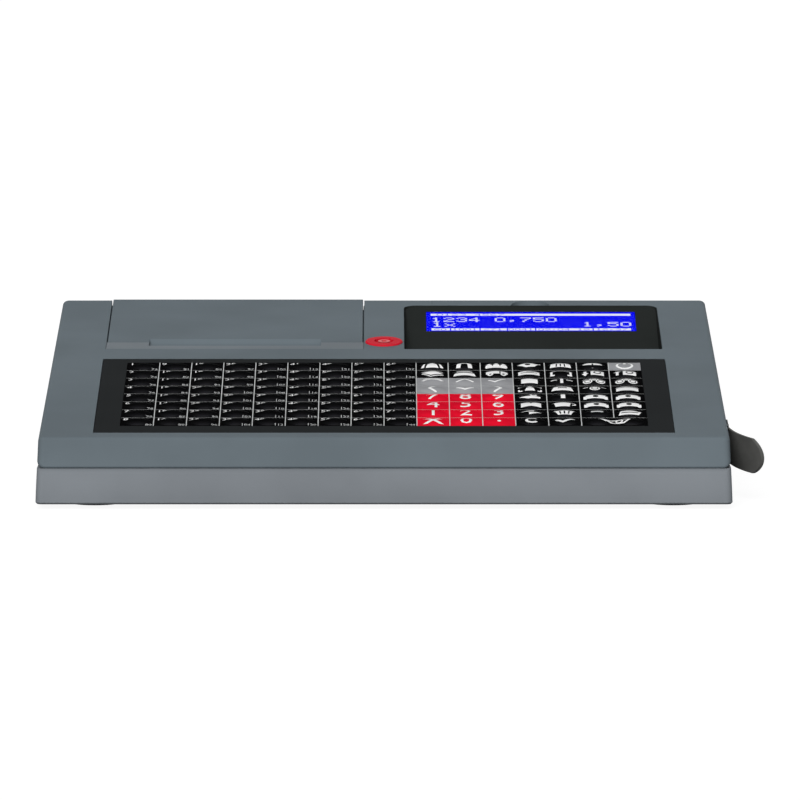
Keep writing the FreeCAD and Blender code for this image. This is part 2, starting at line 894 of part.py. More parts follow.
def printer_lid():
    x0, x1 = bay_left + lid_gap / 2, bay_right - lid_gap / 2
    front = exit_l + lid_gap / 2
    plate = box(x0, x1, front, deck_length, -lid_t, 0)
    behind = [edge for edge in plate.Edges if edge.Vertexes[0].Y + edge.Vertexes[1].Y > 2 * front]
    plate = plate.makeFillet(lid_t / 4, [edge for edge in behind if lies_at(0)(edge)])
    rib_front = front + channel_back + bracket_back + channel_wall
    ribs = [box(x - lid_rib_t / 2, x + lid_rib_t / 2, rib_front, hinge_l - 2 * knuckle_r,
                -lid_t - lid_rib_h, -lid_t / 2)
            for x in (channel_center - platen_half, channel_center, channel_center + platen_half)]
    lid = fuse(plate, channel_body(1), platen_bracket(-1), platen_bracket(1),
               *ribs, *[lid_knuckle(center) for center in hinge_centers()])
    behind = box(-span, span, rear_y, span, 0, span)
    return on_deck(lid.cut(channel_cut(1))).cut(behind)


def exit_trim():
    """Fixed strip in front of the lid that carries the other half of the channel."""
    x0, x1 = bay_left - seat_gap + trim_gap, bay_right + seat_gap - trim_gap
    back = exit_l - lid_gap / 2
    strip = box(x0, x1, bay_front, back, -ledge_depth, 0)
    hollow = box(x0 + ledge_w + lid_t, x1 - ledge_w - lid_t, bay_front + lid_t, back + overrun,
                 -ledge_depth - overrun, -lid_t)
    trim = fuse(strip.cut(hollow), channel_body(-1))
    return on_deck(trim.cut(channel_cut(-1)))


def tear_bar():
    """Serrated steel strip along the paper slot, its teeth up."""
    half = tear_w / 2
    count = int(tear_w / tear_tooth)
    low = -channel_depth - channel_wall - tear_h
    base = low + tear_h * tear_base_share
    points = [(channel_center + half, low), (channel_center - half, low), (channel_center - half, base)]
    for index in range(count):
        x = channel_center - half + (index + 0.5) * tear_w / count
        points += [(x, low + tear_h), (x + tear_w / count / 2, base)]
    back = exit_l - lid_gap / 2
    return on_deck(prism_y(points, back - tear_t, back))


def lid_hinge_pins():
    pins = []
    for center in hinge_centers():
        half = knuckle_w / 2 + ear_gap + ear_w
        pins.append(on_deck(rod_x(hinge_pin_r, center - half, center + half, hinge_l, hinge_n)))
    return Part.makeCompound(pins)


# Paper feed

def paper_bucket():
    """Trough for the roll with a round floor, hung from the bay's ledges by its rim."""
    x0, x1 = channel_center - bucket_half, channel_center + bucket_half
    rim_top = -ledge_depth - ledge_t
    outer_r = bucket_r + bucket_t

    def trough(radius, left, right):
        straight = box(left, right, bucket_l - radius, bucket_l + radius, bucket_n, rim_top + overrun)
        return straight.fuse(rod_x(radius, left, right, bucket_l, bucket_n))

    rim = box(bay_left - rim_inset, bay_right + rim_inset, rim_front, rim_back, rim_top - bucket_t, rim_top)
    body = trough(outer_r, x0 - bucket_t, x1 + bucket_t)
    body = body.common(box(-span, span, 0, span, -span, rim_top))
    bucket = fuse(rim, body).cut(trough(bucket_r, x0, x1))
    gate = box(x0, x1, rim_front - overrun, bucket_l - bucket_r + overrun, bucket_lip_n, overrun)
    return on_deck(bucket.cut(gate))


def paper_roll():
    half = paper_w / 2
    body = rod_x(roll_r, channel_center - half, channel_center + half, bucket_l, roll_n)
    bore = rod_x(core_r, channel_center - paper_w, channel_center + paper_w, bucket_l, roll_n)
    return on_deck(body.cut(bore))


def roll_core():
    half = paper_w / 2
    tube = rod_x(core_r, channel_center - half, channel_center + half, bucket_l, roll_n)
    return on_deck(tube.cut(rod_x(core_bore_r, channel_center - paper_w, channel_center + paper_w,
                                  bucket_l, roll_n)))


def web_start(lip):
    """Point where the strip drawn back from the bucket's lip touches the roll."""
    radius = roll_r + seat_gap
    reach = math.hypot(lip[0] - bucket_l, lip[1] - roll_n)
    turn = math.atan2(lip[1] - roll_n, lip[0] - bucket_l) - math.acos(radius / reach)
    return bucket_l + radius * math.cos(turn), roll_n + radius * math.sin(turn)


def paper_web():
    """The paper from the roll, under the platen and up to the slot."""
    half = paper_w / 2
    face = head_face_l + paper_t
    lip = (bucket_l - bucket_r - bucket_t / 2, bucket_lip_n + paper_t * 4)
    top = [web_start(lip), lip,
           (platen_l + platen_r * web_wrap_share, platen_n - platen_r - slide_gap * 2),
           (platen_l - platen_r * web_wrap_share, platen_n - platen_r - slide_gap),
           (face, platen_n - platen_r / 2), (face, head_top), (exit_l, -channel_depth)]
    back = [(l + paper_t, n + paper_t / 2) for l, n in top]
    points = top + back[::-1]
    return on_deck(prism_x(points, channel_center - half, channel_center + half))


def gear_outline(teeth, phase):
    """Straight-flanked teeth on a pitch circle; the phase is the angle of one tooth's middle."""
    pitch_r = gear_module * teeth / 2
    tip_r = pitch_r + gear_module * addendum_share
    root_r = pitch_r - gear_module * dedendum_share
    points = []
    for tooth in range(teeth):
        middle = math.radians(phase + 360 * tooth / teeth)
        for radius, half in ((root_r, -root_half_share), (tip_r, -tip_half_share),
                             (tip_r, tip_half_share), (root_r, root_half_share)):
            angle = middle + half * gear_module / radius
            points.append((radius * math.cos(angle), radius * math.sin(angle)))
    return points


def gear(teeth, phase, l, n, bore_r):
    points = [(l + a, n + b) for a, b in gear_outline(teeth, phase)]
    blank = prism_x(points, gear_left, gear_right)
    return blank.cut(rod_x(bore_r, gear_left - overrun, gear_right + overrun, l, n))


platen_phase = -90.0
idler_phase = 90.0 + 180.0 / idler_teeth


def pinion_phase():
    """The pinion's tooth angle that drops a gap over the idler tooth nearest the line of centres."""
    step = 360.0 / idler_teeth
    ahead = (motor_bearing - idler_phase) % step
    gap = motor_bearing + 180.0 + ahead * idler_pitch_r / pinion_pitch_r
    return gap + 180.0 / pinion_teeth


def platen_roller():
    tube = rod_x(platen_r, channel_center - platen_half, channel_center + platen_half, platen_l, platen_n)
    return on_deck(tube.cut(rod_x(shaft_r, -span, span, platen_l, platen_n)))


def platen_shaft():
    right = channel_center + platen_half + bracket_gap + bracket_t + slide_gap
    return on_deck(rod_x(shaft_r, gear_left, right, platen_l, platen_n))


def platen_bushes():
    bushes = []
    for side in (-1, 1):
        near = channel_center + side * (platen_half + bracket_gap)
        x0, x1 = sorted((near, near + side * bracket_t))
        bush = facet_rod(bush_r, x0, x1, platen_l, platen_n)
        bushes.append(on_deck(bush.cut(rod_x(shaft_r + pin_gap, -span, span, platen_l, platen_n))))
    return Part.makeCompound(bushes)


def platen_gear():
    return on_deck(gear(platen_teeth, platen_phase, platen_l, platen_n, shaft_r))


def idler_gear():
    return on_deck(gear(idler_teeth, idler_phase, idler_l, idler_n, idler_pin_r + pin_gap))


def idler_pin():
    pin = rod_x(idler_pin_r, gear_left - slide_gap, frame_left, idler_l, idler_n)
    head = facet_rod(idler_pin_head_r, gear_left - slide_gap - idler_pin_head, gear_left - slide_gap,
                     idler_l, idler_n)
    return on_deck(fuse(pin, head))


def motor_pinion():
    wheel = gear(pinion_teeth, pinion_phase(), motor_l, motor_n, motor_shaft_r)
    shaft = rod_x(motor_shaft_r, gear_left, frame_left + motor_length / 2, motor_l, motor_n)
    return on_deck(fuse(wheel, shaft))


def feed_motor():
    can = rod_x(motor_r, frame_left, frame_left + motor_length, motor_l, motor_n)
    bore = rod_x(motor_shaft_r + pin_gap, frame_left - overrun, frame_left + motor_length / 2 + slide_gap,
                 motor_l, motor_n)
    return on_deck(can.cut(bore))


def frame_side(x0):
    """One cheek of the printer frame, open at the top where the platen's shaft drops in."""
    points = [(frame_front, frame_bottom), (frame_back, frame_bottom), (frame_back, frame_top),
              (platen_l + frame_slot_half, frame_top), (platen_l + frame_slot_half, frame_slot_n),
              (platen_l - frame_slot_half, frame_slot_n), (platen_l - frame_slot_half, frame_top),
              (head_face_l - 2 * head_t, frame_top), (frame_front, spring_bar_top - 2 * spring_bar_h)]
    cheek = prism_x(points, x0, x0 + frame_t)
    return cheek.cut(rod_x(head_pin_r + pin_gap, x0 - overrun, x0 + overrun,
                           head_face_l - head_t / 2, head_pin_n))


def printer_frame():
    right = channel_center + frame_half
    left_cheek = frame_side(frame_left - frame_t)
    left_cheek = left_cheek.cut(rod_x(motor_boss_r, -span, frame_left + overrun, motor_l, motor_n))
    left_cheek = left_cheek.cut(rod_x(idler_pin_r, -span, frame_left + overrun, idler_l, idler_n))
    base = box(frame_left - frame_t, right + frame_t, frame_front, frame_back,
               frame_bottom, frame_bottom + frame_t)
    bar = box(frame_left - frame_t, right + frame_t, spring_bar_l, spring_bar_l + spring_bar_t,
              spring_bar_top - spring_bar_h, spring_bar_top)
    return on_deck(fuse(base, bar, left_cheek, frame_side(right)))


def thermal_head():
    """Heat sink plate with the raised heater line, on two pivot pins."""
    x0, x1 = channel_center - head_half, channel_center + head_half
    plate = box(x0, x1, head_face_l - head_t, head_face_l - heater_t, head_bottom, head_top)
    heater = box(x0, x1, head_face_l - head_t, head_face_l, platen_n - heater_h / 2, platen_n + heater_h / 2)
    pin = rod_x(head_pin_r, frame_left - frame_t, channel_center + frame_half + frame_t,
                head_face_l - head_t / 2, head_pin_n)
    return on_deck(fuse(plate, heater, pin))


def head_spring():
    """Leaf that presses on the back of the head, riveted to the frame's cross bar."""
    back = head_face_l - head_t - leaf_gap
    bar = spring_bar_l + spring_bar_t
    top = spring_bar_top
    bow = [(bar, top - spring_bar_h), (bar + leaf_t, top - spring_bar_h), (bar + leaf_t, top - leaf_t),
           (back, top - spring_bar_h / 2), (back, top - spring_bar_h / 2 + leaf_t), (bar, top)]
    return on_deck(prism_x(bow, channel_center - leaf_w / 2, channel_center + leaf_w / 2))


# Operator screen

def above_panel(lift):
    return on_panel(box(-span, span, -span, span, lift, span))


def display_tray():
    """Sunk tray whose floor is steeper than the deck, with drafted side walls."""
    depth = tray_sink + (tray_back - tray_front) * math.tan(math.radians(tray_extra_tilt)) + tray_floor
    outer = on_deck(rounded_prism(tray_left, tray_right, tray_front, tray_back, -2 * depth, 0,
                                  tray_front_r, tray_back_r))
    run = tray_draft_run + tray_rim
    top = rounded_wire(tray_left + tray_rim, tray_right - tray_rim, tray_front + tray_rim,
                       tray_back - tray_rim, 0, tray_front_r, tray_back_r)
    low = rounded_wire(tray_left + run, tray_right - run, tray_front + run, tray_back - tray_rim,
                       -depth, tray_front_r, tray_back_r)
    mouth = rounded_prism(tray_left + tray_rim, tray_right - tray_rim, tray_front + tray_rim,
                          tray_back - tray_rim, 0, overrun, tray_front_r, tray_back_r)
    pocket = on_deck(Part.makeLoft([low, top], True, True).fuse(mouth)).common(above_panel(0))
    window = on_panel(box(window_left, window_right, -window_back - window_depth, -window_back,
                          -span, span))
    return outer.common(above_panel(-tray_floor)).cut(pocket).cut(window)


def screen_pane():
    return on_panel(box(window_left + pane_gap, window_right - pane_gap,
                        -window_back - window_depth + pane_gap, -window_back - pane_gap, -pane_t, 0))


def screen_box(margin, low, high):
    return on_panel(box(window_left - margin, window_right + margin,
                        -window_back - window_depth - margin, -window_back + margin, low, high))


def screen_frame():
    """Bent metal frame of the screen module, open over the glass."""
    shell = screen_box(module_margin, -tray_floor - module_t, -tray_floor)
    opening = screen_box(0, -tray_floor - glass_t, -tray_floor + overrun)
    return shell.cut(opening)


def screen_glass():
    """The module's glass, which reaches up through the window to just under the pane."""
    return screen_box(-pane_gap, -tray_floor - glass_t, -pane_t - pane_gap)


def screen_board():
    low = -tray_floor - module_t - screen_board_t
    return screen_box(screen_board_margin, low, low + screen_board_t)


def screen_ribbon():
    """Flat cable from the screen's board down to the main board."""
    low = board_z + board_t
    under = -tray_floor - module_t - screen_board_t
    bottom = panel_place.multVec(Vector(0, -window_back - window_depth / 2, under))
    return box(ribbon_x, ribbon_x + ribbon_w, bottom.y, bottom.y + ribbon_t, low, bottom.z)


# Operator key reader

def reader_ring():
    """Red disc with a pocket for the key's button, on a barrel through the deck."""
    disc = post(reader_r, 0, exit_l, 0, reader_proud)
    disc = disc.makeChamfer(reader_edge, [edge for edge in disc.Edges if lies_at(reader_proud)(edge)])
    barrel = facet_post(reader_barrel_r, 0, exit_l, -reader_barrel, reader_proud / 2)
    pocket = post(reader_pocket_r, 0, exit_l, reader_proud - reader_pocket, overrun)
    bore = post(contact_r + pin_gap, 0, exit_l, -span, overrun)
    chamber = facet_post(contact_flange_r + seat_gap, 0, exit_l, -span, -reader_barrel + reader_chamber)
    return on_deck(fuse(disc, barrel).cut(pocket).cut(bore).cut(chamber))


def reader_contact():
    """Sprung centre contact with a dished tip and a flange that stops it."""
    top = reader_proud - contact_sink
    flange_top = -reader_barrel + reader_chamber
    stem = post(contact_r, 0, exit_l, flange_top - contact_flange, top)
    stem = stem.cut(post(contact_dish_r, 0, exit_l, top - contact_dish, overrun))
    low = flange_top - contact_flange - pin_gap
    flange = facet_post(contact_flange_r, 0, exit_l, low, flange_top - pin_gap)
    return on_deck(fuse(stem, flange))


def reader_spring():
    low = -reader_barrel
    high = -reader_barrel + reader_chamber - contact_flange - 2 * pin_gap
    tube = facet_post(reader_spring_r, 0, exit_l, low, high)
    return on_deck(tube.cut(facet_post(reader_spring_r - reader_spring_wall, 0, exit_l, -span, span)))


def reader_board():
    top = -reader_barrel
    return on_deck(facet_post(reader_board_r, 0, exit_l, top - reader_board_t, top))


# Customer display

def display_block(inset):
    """The sliding head's envelope, its top cut to the slope of the deck."""
    x0, x1 = head_x - head_w / 2 + inset, head_x + head_w / 2 - inset
    top = ridge_height + head_back_y * tan_tilt
    under_deck = [(-span, -span), (span, -span), (span, 0), (-span, 0)]
    slope = on_deck(prism_x([(l, n) for l, n in under_deck], -span, span))
    block = box(x0, x1, head_front_y + inset, head_back_y - inset, top - head_height + inset, top)
    return block.common(slope)


def view_box(depth, margin, back_y):
    top = head_front_z - view_drop
    return box(head_x - view_w / 2 - margin, head_x + view_w / 2 + margin, back_y - depth, back_y,
               top - view_h - margin, top + margin)


def display_head():
    shell = display_block(0)
    roof = box(-span, span, -span, span, head_front_z - view_drop + head_wall, span)
    hollow = display_block(head_wall).cut(roof)
    shell = shell.cut(hollow).cut(view_box(view_t + digits_t, 0, head_back_y))
    grip_low = head_front_z - grip_depth
    shell = shell.cut(post(grip_r, head_x, grip_center_y, grip_low, span))
    return fuse(shell, *head_grip_walls(grip_low))


def head_grip_walls(low):
    """The closed wall around the finger grip inside the head."""
    cup = post(grip_r + head_wall, head_x, grip_center_y, low - head_wall, span)
    cup = cup.common(display_block(0)).cut(post(grip_r, head_x, grip_center_y, low, span))
    return [cup.cut(view_box(view_t + digits_t + pin_gap, pin_gap, head_back_y))]


def head_window():
    return view_box(view_t, -pane_gap, head_back_y)


def digits_panel():
    return view_box(digits_t, 0, head_back_y - view_t)


def display_rails():
    """Two upright guides that hold the head's front corners against the rear wall."""
    rails = []
    for side in (-1, 1):
        edge = head_x + side * (head_w / 2 + head_gap)
        x0, x1 = sorted((edge, edge + side * rail_t))
        web = box(x0, x1, rail_front_y, rail_back_y, wall, rail_top)
        x2, x3 = sorted((edge - side * rail_overlap, edge + side * rail_t))
        front = box(x2, x3, rail_front_y, rail_front_y + rail_front_t, wall, rail_top)
        rails.append(fuse(web, front))
    return Part.makeCompound(rails)


# Electronics

def main_board():
    board = box(board_left, board_right, board_front, board_back, board_z, board_z + board_t)
    for x, y in standoff_places():
        board = board.cut(facet_post(screw_r + pin_gap, x, y, -span, span))
    top = board_z + board_t
    chips = []
    for row in range(2):
        for column in range(3):
            x = board_left + chip_wide * (column * 2 + 1)
            y = board_front + chip_long * (row * 2 + 1)
            chips.append(box(x, x + chip_wide / (row + 1), y, y + chip_long / 2, top, top + chip_h))
    return fuse(board, *chips)


def board_screws():
    top = board_z + board_t
    screws = []
    for x, y in standoff_places():
        head = facet_post(screw_head_r, x, y, top, top + screw_head_h)
        stem = facet_post(standoff_pilot_r, x, y, top - board_screw_length, top + screw_head_h / 2)
        screws.append(fuse(head, stem))
    return Part.makeCompound(screws)


def modular_jack(x):
    """Low modular socket with its mouth through the rear wall."""
    low = board_z + board_t
    back = rear_y + socket_proud
    body = box(x - jack_w / 2, x + jack_w / 2, back - socket_depth, back, low, low + socket_h)
    mouth_low = low + (socket_h - jack_mouth_h) / 2
    mouth = box(x - jack_mouth_w / 2, x + jack_mouth_w / 2, back - jack_mouth_depth, back + overrun,
                mouth_low, mouth_low + jack_mouth_h)
    latch_low = mouth_low - socket_wall / 2
    latch = box(x - jack_mouth_w / 4, x + jack_mouth_w / 4, back - jack_mouth_depth / 2, back + overrun,
                latch_low, mouth_low + cut_lap)
    return body.cut(mouth).cut(latch)


def drawer_socket():
    return modular_jack(drawer_x)


def serial_sockets():
    return Part.makeCompound([modular_jack(x) for x in serial_xs])


def network_socket():
    return modular_jack(network_x)


def power_inlet():
    """Round low-voltage socket with its centre pin."""
    low = board_z + board_t
    back = rear_y + socket_proud
    middle = low + socket_h / 2
    body = box(power_x - power_w / 2, power_x + power_w / 2, back - socket_depth, back, low, low + socket_h)
    bore = Part.makeCylinder(power_bore_r, power_bore_depth + overrun,
                             Vector(power_x, back - power_bore_depth, middle), Vector(0, 1, 0))
    root = Vector(power_x, back - power_bore_depth - power_pin_r, middle)
    pin = Part.makeCylinder(power_pin_r, power_bore_depth, root, Vector(0, 1, 0))
    return fuse(body.cut(bore), pin)


def backup_battery():
    low = board_z + board_t
    return facet_post(battery_r, battery_x, battery_y, low + chip_h, low + chip_h + battery_h)


def battery_holder():
    low = board_z + board_t
    base = facet_post(battery_r + 2 * board_t, battery_x, battery_y, low, low + chip_h + battery_h / 2)
    return base.cut(facet_post(battery_r, battery_x, battery_y, low + chip_h, span))


def buzzer():
    low = board_z + board_t
    can = facet_post(buzzer_r, buzzer_x, buzzer_y, low, low + buzzer_h)
    return can.cut(facet_post(buzzer_r / 4, buzzer_x, buzzer_y, low + buzzer_h / 2, span))


# Side cover and socket

def cover_arc(radius, center, start, end):
    def at(angle):
        turn = math.radians(angle)
        return Vector(center.x - radius * math.cos(turn), center.y - radius * math.sin(turn), 0)
    return at(start), at((start + end) / 2), at(end)


def side_cover():
    """Curved tab that swings on a vertical pin at the fold, standing away from the wall."""
    turn = cover_end_angle - cover_start_angle
    radius = cover_length / math.radians(turn)
    fold = Vector(cover_t / 2 + pin_gap, cover_fold, 0)
    start = math.radians(cover_start_angle)
    center = Vector(fold.x + radius * math.cos(start), fold.y + radius * math.sin(start), 0)
    inner = cover_arc(radius + cover_t / 2, center, cover_start_angle, cover_end_angle)
    outer = cover_arc(radius - cover_t / 2, center, cover_start_angle, cover_end_angle)
    edges = [Part.Arc(*inner).toShape(), Part.makeLine(inner[2], outer[2]),
             Part.Arc(outer[2], outer[1], outer[0]).toShape(), Part.makeLine(outer[0], inner[0])]
    low = -cover_top - cover_h
    band = Part.Face(Part.Wire(edges)).extrude(Vector(0, 0, cover_h))
    band.translate(Vector(0, 0, low))
    tip_l = outer[2].y + cover_tip_r
    round_end = rod_x(cover_tip_r, -span, span, tip_l, low + cover_h / 2)
    tab = band.common(round_end.fuse(box(-span, span, tip_l, cover_fold + cover_length, -span, 0)))
    eye = post(cover_t / 2, fold.x, fold.y, low, -cover_top)
    hole = post(fold_pin_r + pin_gap, fold.x, fold.y, -span, span)
    return on_side(fuse(tab, eye).cut(hole))


def cover_anchor():
    """Flat strip fixed to the wall behind the fold, with a lug at each end of the fold pin."""
    low = -cover_top - cover_h
    fold_x = cover_t / 2 + pin_gap
    start = cover_fold + cover_t / 2 + cover_fold_gap
    strip = box(0, cover_t, start, anchor_back, low, -cover_top)
    lugs = []
    for z0 in (low - cover_t, -cover_top + pin_gap):
        z1 = z0 + cover_t - pin_gap
        lugs.append(box(0, cover_t, cover_fold - cover_t / 2, start + cover_t, z0, z1))
    joiners = [box(0, cover_t, start, start + cover_t, low - cover_t, low),
               box(0, cover_t, start, start + cover_t, -cover_top, -cover_top + cover_t)]
    anchor = fuse(strip, *lugs, *joiners)
    return on_side(anchor.cut(post(fold_pin_r, fold_x, cover_fold, -span, span)))


def fold_pin():
    low = -cover_top - cover_h - cover_t
    return on_side(post(fold_pin_r, cover_t / 2 + pin_gap, cover_fold, low, -cover_top + cover_t))


def side_socket():
    """Flat shell socket behind the cover, its flange against the inside of the wall."""
    middle_l = (bay_cut_front + bay_cut_back) / 2
    middle_n = -(bay_cut_top + bay_cut_bottom) / 2
    face = -wall / cos_draft
    flange = box(face - side_flange_t, face, bay_cut_front - side_flange_margin,
                 bay_cut_back + side_flange_margin, -bay_cut_bottom - side_flange_margin,
                 -bay_cut_top + side_flange_margin)
    shell = box(face - side_socket_depth, face, middle_l - side_socket_w / 2, middle_l + side_socket_w / 2,
                middle_n - side_socket_h / 2, middle_n + side_socket_h / 2)
    inset = side_socket_wall
    hollow = box(face - side_socket_depth + inset, overrun, middle_l - side_socket_w / 2 + inset,
                 middle_l + side_socket_w / 2 - inset, middle_n - side_socket_h / 2 + inset,
                 middle_n + side_socket_h / 2 - inset)
    tongue = box(face - side_socket_depth + inset / 2, face - side_flange_t, middle_l - side_socket_w / 3,
                 middle_l + side_socket_w / 3, middle_n, middle_n + side_socket_h / 4)
    return on_side(fuse(fuse(flange, shell).cut(hollow), tongue))


pieces = {
    "upper_case": upper_case,
    "lower_case": lower_case,
    "rubber_feet": rubber_feet,
    "case_screws": case_screws,
    "keyboard_bezel": keyboard_bezel,
    "key_overlay": key_overlay,
    "legend_sheet": legend_sheet,
    "switch_membrane": switch_membrane,
    "keyboard_plate": keyboard_plate,
    "keyboard_ribbon": keyboard_ribbon,
    "printer_lid": printer_lid,
    "exit_trim": exit_trim,
    "tear_bar": tear_bar,
    "lid_hinge_pins": lid_hinge_pins,
    "paper_bucket": paper_bucket,
    "paper_roll": paper_roll,
    "roll_core": roll_core,
    "paper_web": paper_web,
    "platen_roller": platen_roller,
    "platen_shaft": platen_shaft,
    "platen_bushes": platen_bushes,
    "platen_gear": platen_gear,
    "idler_gear": idler_gear,
    "idler_pin": idler_pin,
    "motor_pinion": motor_pinion,
    "feed_motor": feed_motor,
    "printer_frame": printer_frame,
    "thermal_head": thermal_head,
    "head_spring": head_spring,
    "display_tray": display_tray,
    "screen_pane": screen_pane,
    "screen_frame": screen_frame,
    "screen_glass": screen_glass,
    "screen_board": screen_board,
    "screen_ribbon": screen_ribbon,
    "reader_ring": reader_ring,
    "reader_contact": reader_contact,
    "reader_spring": reader_spring,
    "reader_board": reader_board,
    "display_head": display_head,
    "head_window": head_window,
    "digits_panel": digits_panel,
    "display_rails": display_rails,
    "main_board": main_board,
    "board_screws": board_screws,
    "drawer_socket": drawer_socket,
    "serial_sockets": serial_sockets,
    "network_socket": network_socket,
    "power_inlet": power_inlet,
    "battery_holder": battery_holder,
    "backup_battery": backup_battery,
    "buzzer": buzzer,
    "side_cover": side_cover,
    "cover_anchor": cover_anchor,
    "fold_pin": fold_pin,
    "side_socket": side_socket,
}

# The finished part stands with the middle of its overall footprint at the origin
os.makedirs("parts", exist_ok=True)
built = {name: make() for name, make in pieces.items()}
whole = Part.makeCompound(list(built.values())).BoundBox
settle = Placement(Vector(-(whole.XMin + whole.XMax) / 2, -(whole.YMin + whole.YMax) / 2, -whole.ZMin),
                   Rotation())
for name, shape in built.items():
    placed(shape, settle).exportStep("parts/" + name + ".step")
print("settled by", [round(value, 3) for value in settle.Base])
print("overall", round(whole.XLength, 2), round(whole.YLength, 2), round(whole.ZLength, 2))
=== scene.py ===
# %% [markdown]
# # Dressing a ticket register
# The solids of the register are already built and packed. This lesson loads them as a fixed
# frame and gives every surface its look: moulded plastic, an embossed key film with printed
# legends, a lit graphic screen, rubber, steel, paper and circuit board.
# Everything is in metres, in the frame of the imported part, so a piece goes where the solids say.

import math

import bmesh
import bpy
from mathutils import Matrix, Vector


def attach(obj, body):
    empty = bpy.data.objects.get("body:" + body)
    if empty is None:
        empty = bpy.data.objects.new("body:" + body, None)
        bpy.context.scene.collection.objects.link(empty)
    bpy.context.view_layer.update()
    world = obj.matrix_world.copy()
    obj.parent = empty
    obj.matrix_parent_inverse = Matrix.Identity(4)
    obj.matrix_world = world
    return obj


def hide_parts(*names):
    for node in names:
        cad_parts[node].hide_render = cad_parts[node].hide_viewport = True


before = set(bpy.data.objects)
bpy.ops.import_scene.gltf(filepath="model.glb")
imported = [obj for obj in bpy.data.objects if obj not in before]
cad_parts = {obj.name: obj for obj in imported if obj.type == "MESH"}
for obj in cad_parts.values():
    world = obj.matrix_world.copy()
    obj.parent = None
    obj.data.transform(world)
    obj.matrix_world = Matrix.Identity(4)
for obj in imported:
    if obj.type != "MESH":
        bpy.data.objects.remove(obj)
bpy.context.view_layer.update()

# %% [markdown]
# ## The camera
# The real photograph was taken from far away with a long lens, a little above the keyboard.
# The rows of key fields give the distance and the height of the eye. A small sideways shift
# of the lens puts the register where it stands in the picture.

# %% Camera
mm = 0.001
eye_tilt = math.radians(5.6)
eye_distance = 4.835
eye_target = Vector((-9.76, -75.7, 53.4)) * mm

lens = bpy.data.cameras.new("camera")
lens.sensor_width = 36.0
lens.lens = 372.15
lens.shift_x = 0.020
lens.clip_end = 100.0
camera = bpy.data.objects.new("camera", lens)
camera.location = eye_target + eye_distance * Vector((0, -math.cos(eye_tilt), math.sin(eye_tilt)))
camera.rotation_euler = (math.pi / 2 - eye_tilt, 0, 0)
bpy.context.collection.objects.link(camera)
bpy.context.scene.camera = camera
bpy.context.scene.view_settings.view_transform = "Standard"
print("camera", [round(value, 3) for value in camera.location])

# %% [markdown]
# ## Colours
# Colours are noted as they are read on a screen, from 0 to 255. Blender's shaders want
# linear light, so a small function turns one into the other.

# %% Colours
def linear(red, green, blue):
    def channel(value):
        value = value / 255
        return value / 12.92 if value <= 0.04045 else ((value + 0.055) / 1.055) ** 2.4
    return channel(red), channel(green), channel(blue), 1.0


# %% [markdown]
# ## A first finish, and how the others differ
# Every finish starts from one Principled shader. The helper sets what is the same all over
# the surface, and the calls after it add what changes from place to place: a slow drift of
# colour, and a fine grain that tilts the light. Both read Object coordinates, so they stay
# on the piece when it moves.

# %% Finish helpers
def finish(name, colour, roughness, metallic=0.0, specular=0.5, **sockets):
    material = bpy.data.materials.new(name)
    material.use_nodes = True
    shader = material.node_tree.nodes["Principled BSDF"]
    shader.inputs["Base Color"].default_value = colour
    shader.inputs["Roughness"].default_value = roughness
    shader.inputs["Metallic"].default_value = metallic
    shader.inputs["Specular IOR Level"].default_value = specular
    for socket, value in sockets.items():
        shader.inputs[socket.replace("_", " ")].default_value = value
    return material


def parts_of(material):
    tree = material.node_tree
    return tree.nodes, tree.links, tree.nodes["Principled BSDF"]


def place_node(material, stretch=(1, 1, 1)):
    nodes, links, _ = parts_of(material)
    coordinates = nodes.new("ShaderNodeTexCoord")
    mapping = nodes.new("ShaderNodeMapping")
    mapping.inputs["Scale"].default_value = stretch
    links.new(coordinates.outputs["Object"], mapping.inputs["Vector"])
    return mapping.outputs["Vector"]


def drift(material, first, second, scale, stretch=(1, 1, 1), detail=3.0):
    """The base colour wanders between two shades."""
    nodes, links, shader = parts_of(material)
    noise = nodes.new("ShaderNodeTexNoise")
    noise.inputs["Scale"].default_value = scale
    noise.inputs["Detail"].default_value = detail
    links.new(place_node(material, stretch), noise.inputs["Vector"])
    ramp = nodes.new("ShaderNodeValToRGB")
    ramp.color_ramp.elements[0].position = 0.35
    ramp.color_ramp.elements[1].position = 0.65
    ramp.color_ramp.elements[0].color = first
    ramp.color_ramp.elements[1].color = second
    links.new(noise.outputs["Fac"], ramp.inputs["Fac"])
    links.new(ramp.outputs["Color"], shader.inputs["Base Color"])
    return material


def grain(material, scale, depth, strength=0.5, stretch=(1, 1, 1), detail=2.0):
    """Fine relief: noise read as height by a Bump node."""
    nodes, links, shader = parts_of(material)
    noise = nodes.new("ShaderNodeTexNoise")
    noise.inputs["Scale"].default_value = scale
    noise.inputs["Detail"].default_value = detail
    links.new(place_node(material, stretch), noise.inputs["Vector"])
    bump = nodes.new("ShaderNodeBump")
    bump.inputs["Strength"].default_value = strength
    bump.inputs["Distance"].default_value = depth
    links.new(noise.outputs["Fac"], bump.inputs["Height"])
    links.new(bump.outputs["Normal"], shader.inputs["Normal"])
    return material


def worn(material, low, high, scale):
    """The roughness changes in soft patches, as handled plastic does."""
    nodes, links, shader = parts_of(material)
    noise = nodes.new("ShaderNodeTexNoise")
    noise.inputs["Scale"].default_value = scale
    links.new(place_node(material), noise.inputs["Vector"])
    reach = nodes.new("ShaderNodeMapRange")
    reach.inputs["To Min"].default_value = low
    reach.inputs["To Max"].default_value = high
    links.new(noise.outputs["Fac"], reach.inputs["Value"])
    links.new(reach.outputs["Result"], shader.inputs["Roughness"])
    return material


def shade(*reds_greens_blues, by=1.0):
    return linear(*[min(255, value * by) for value in reds_greens_blues])


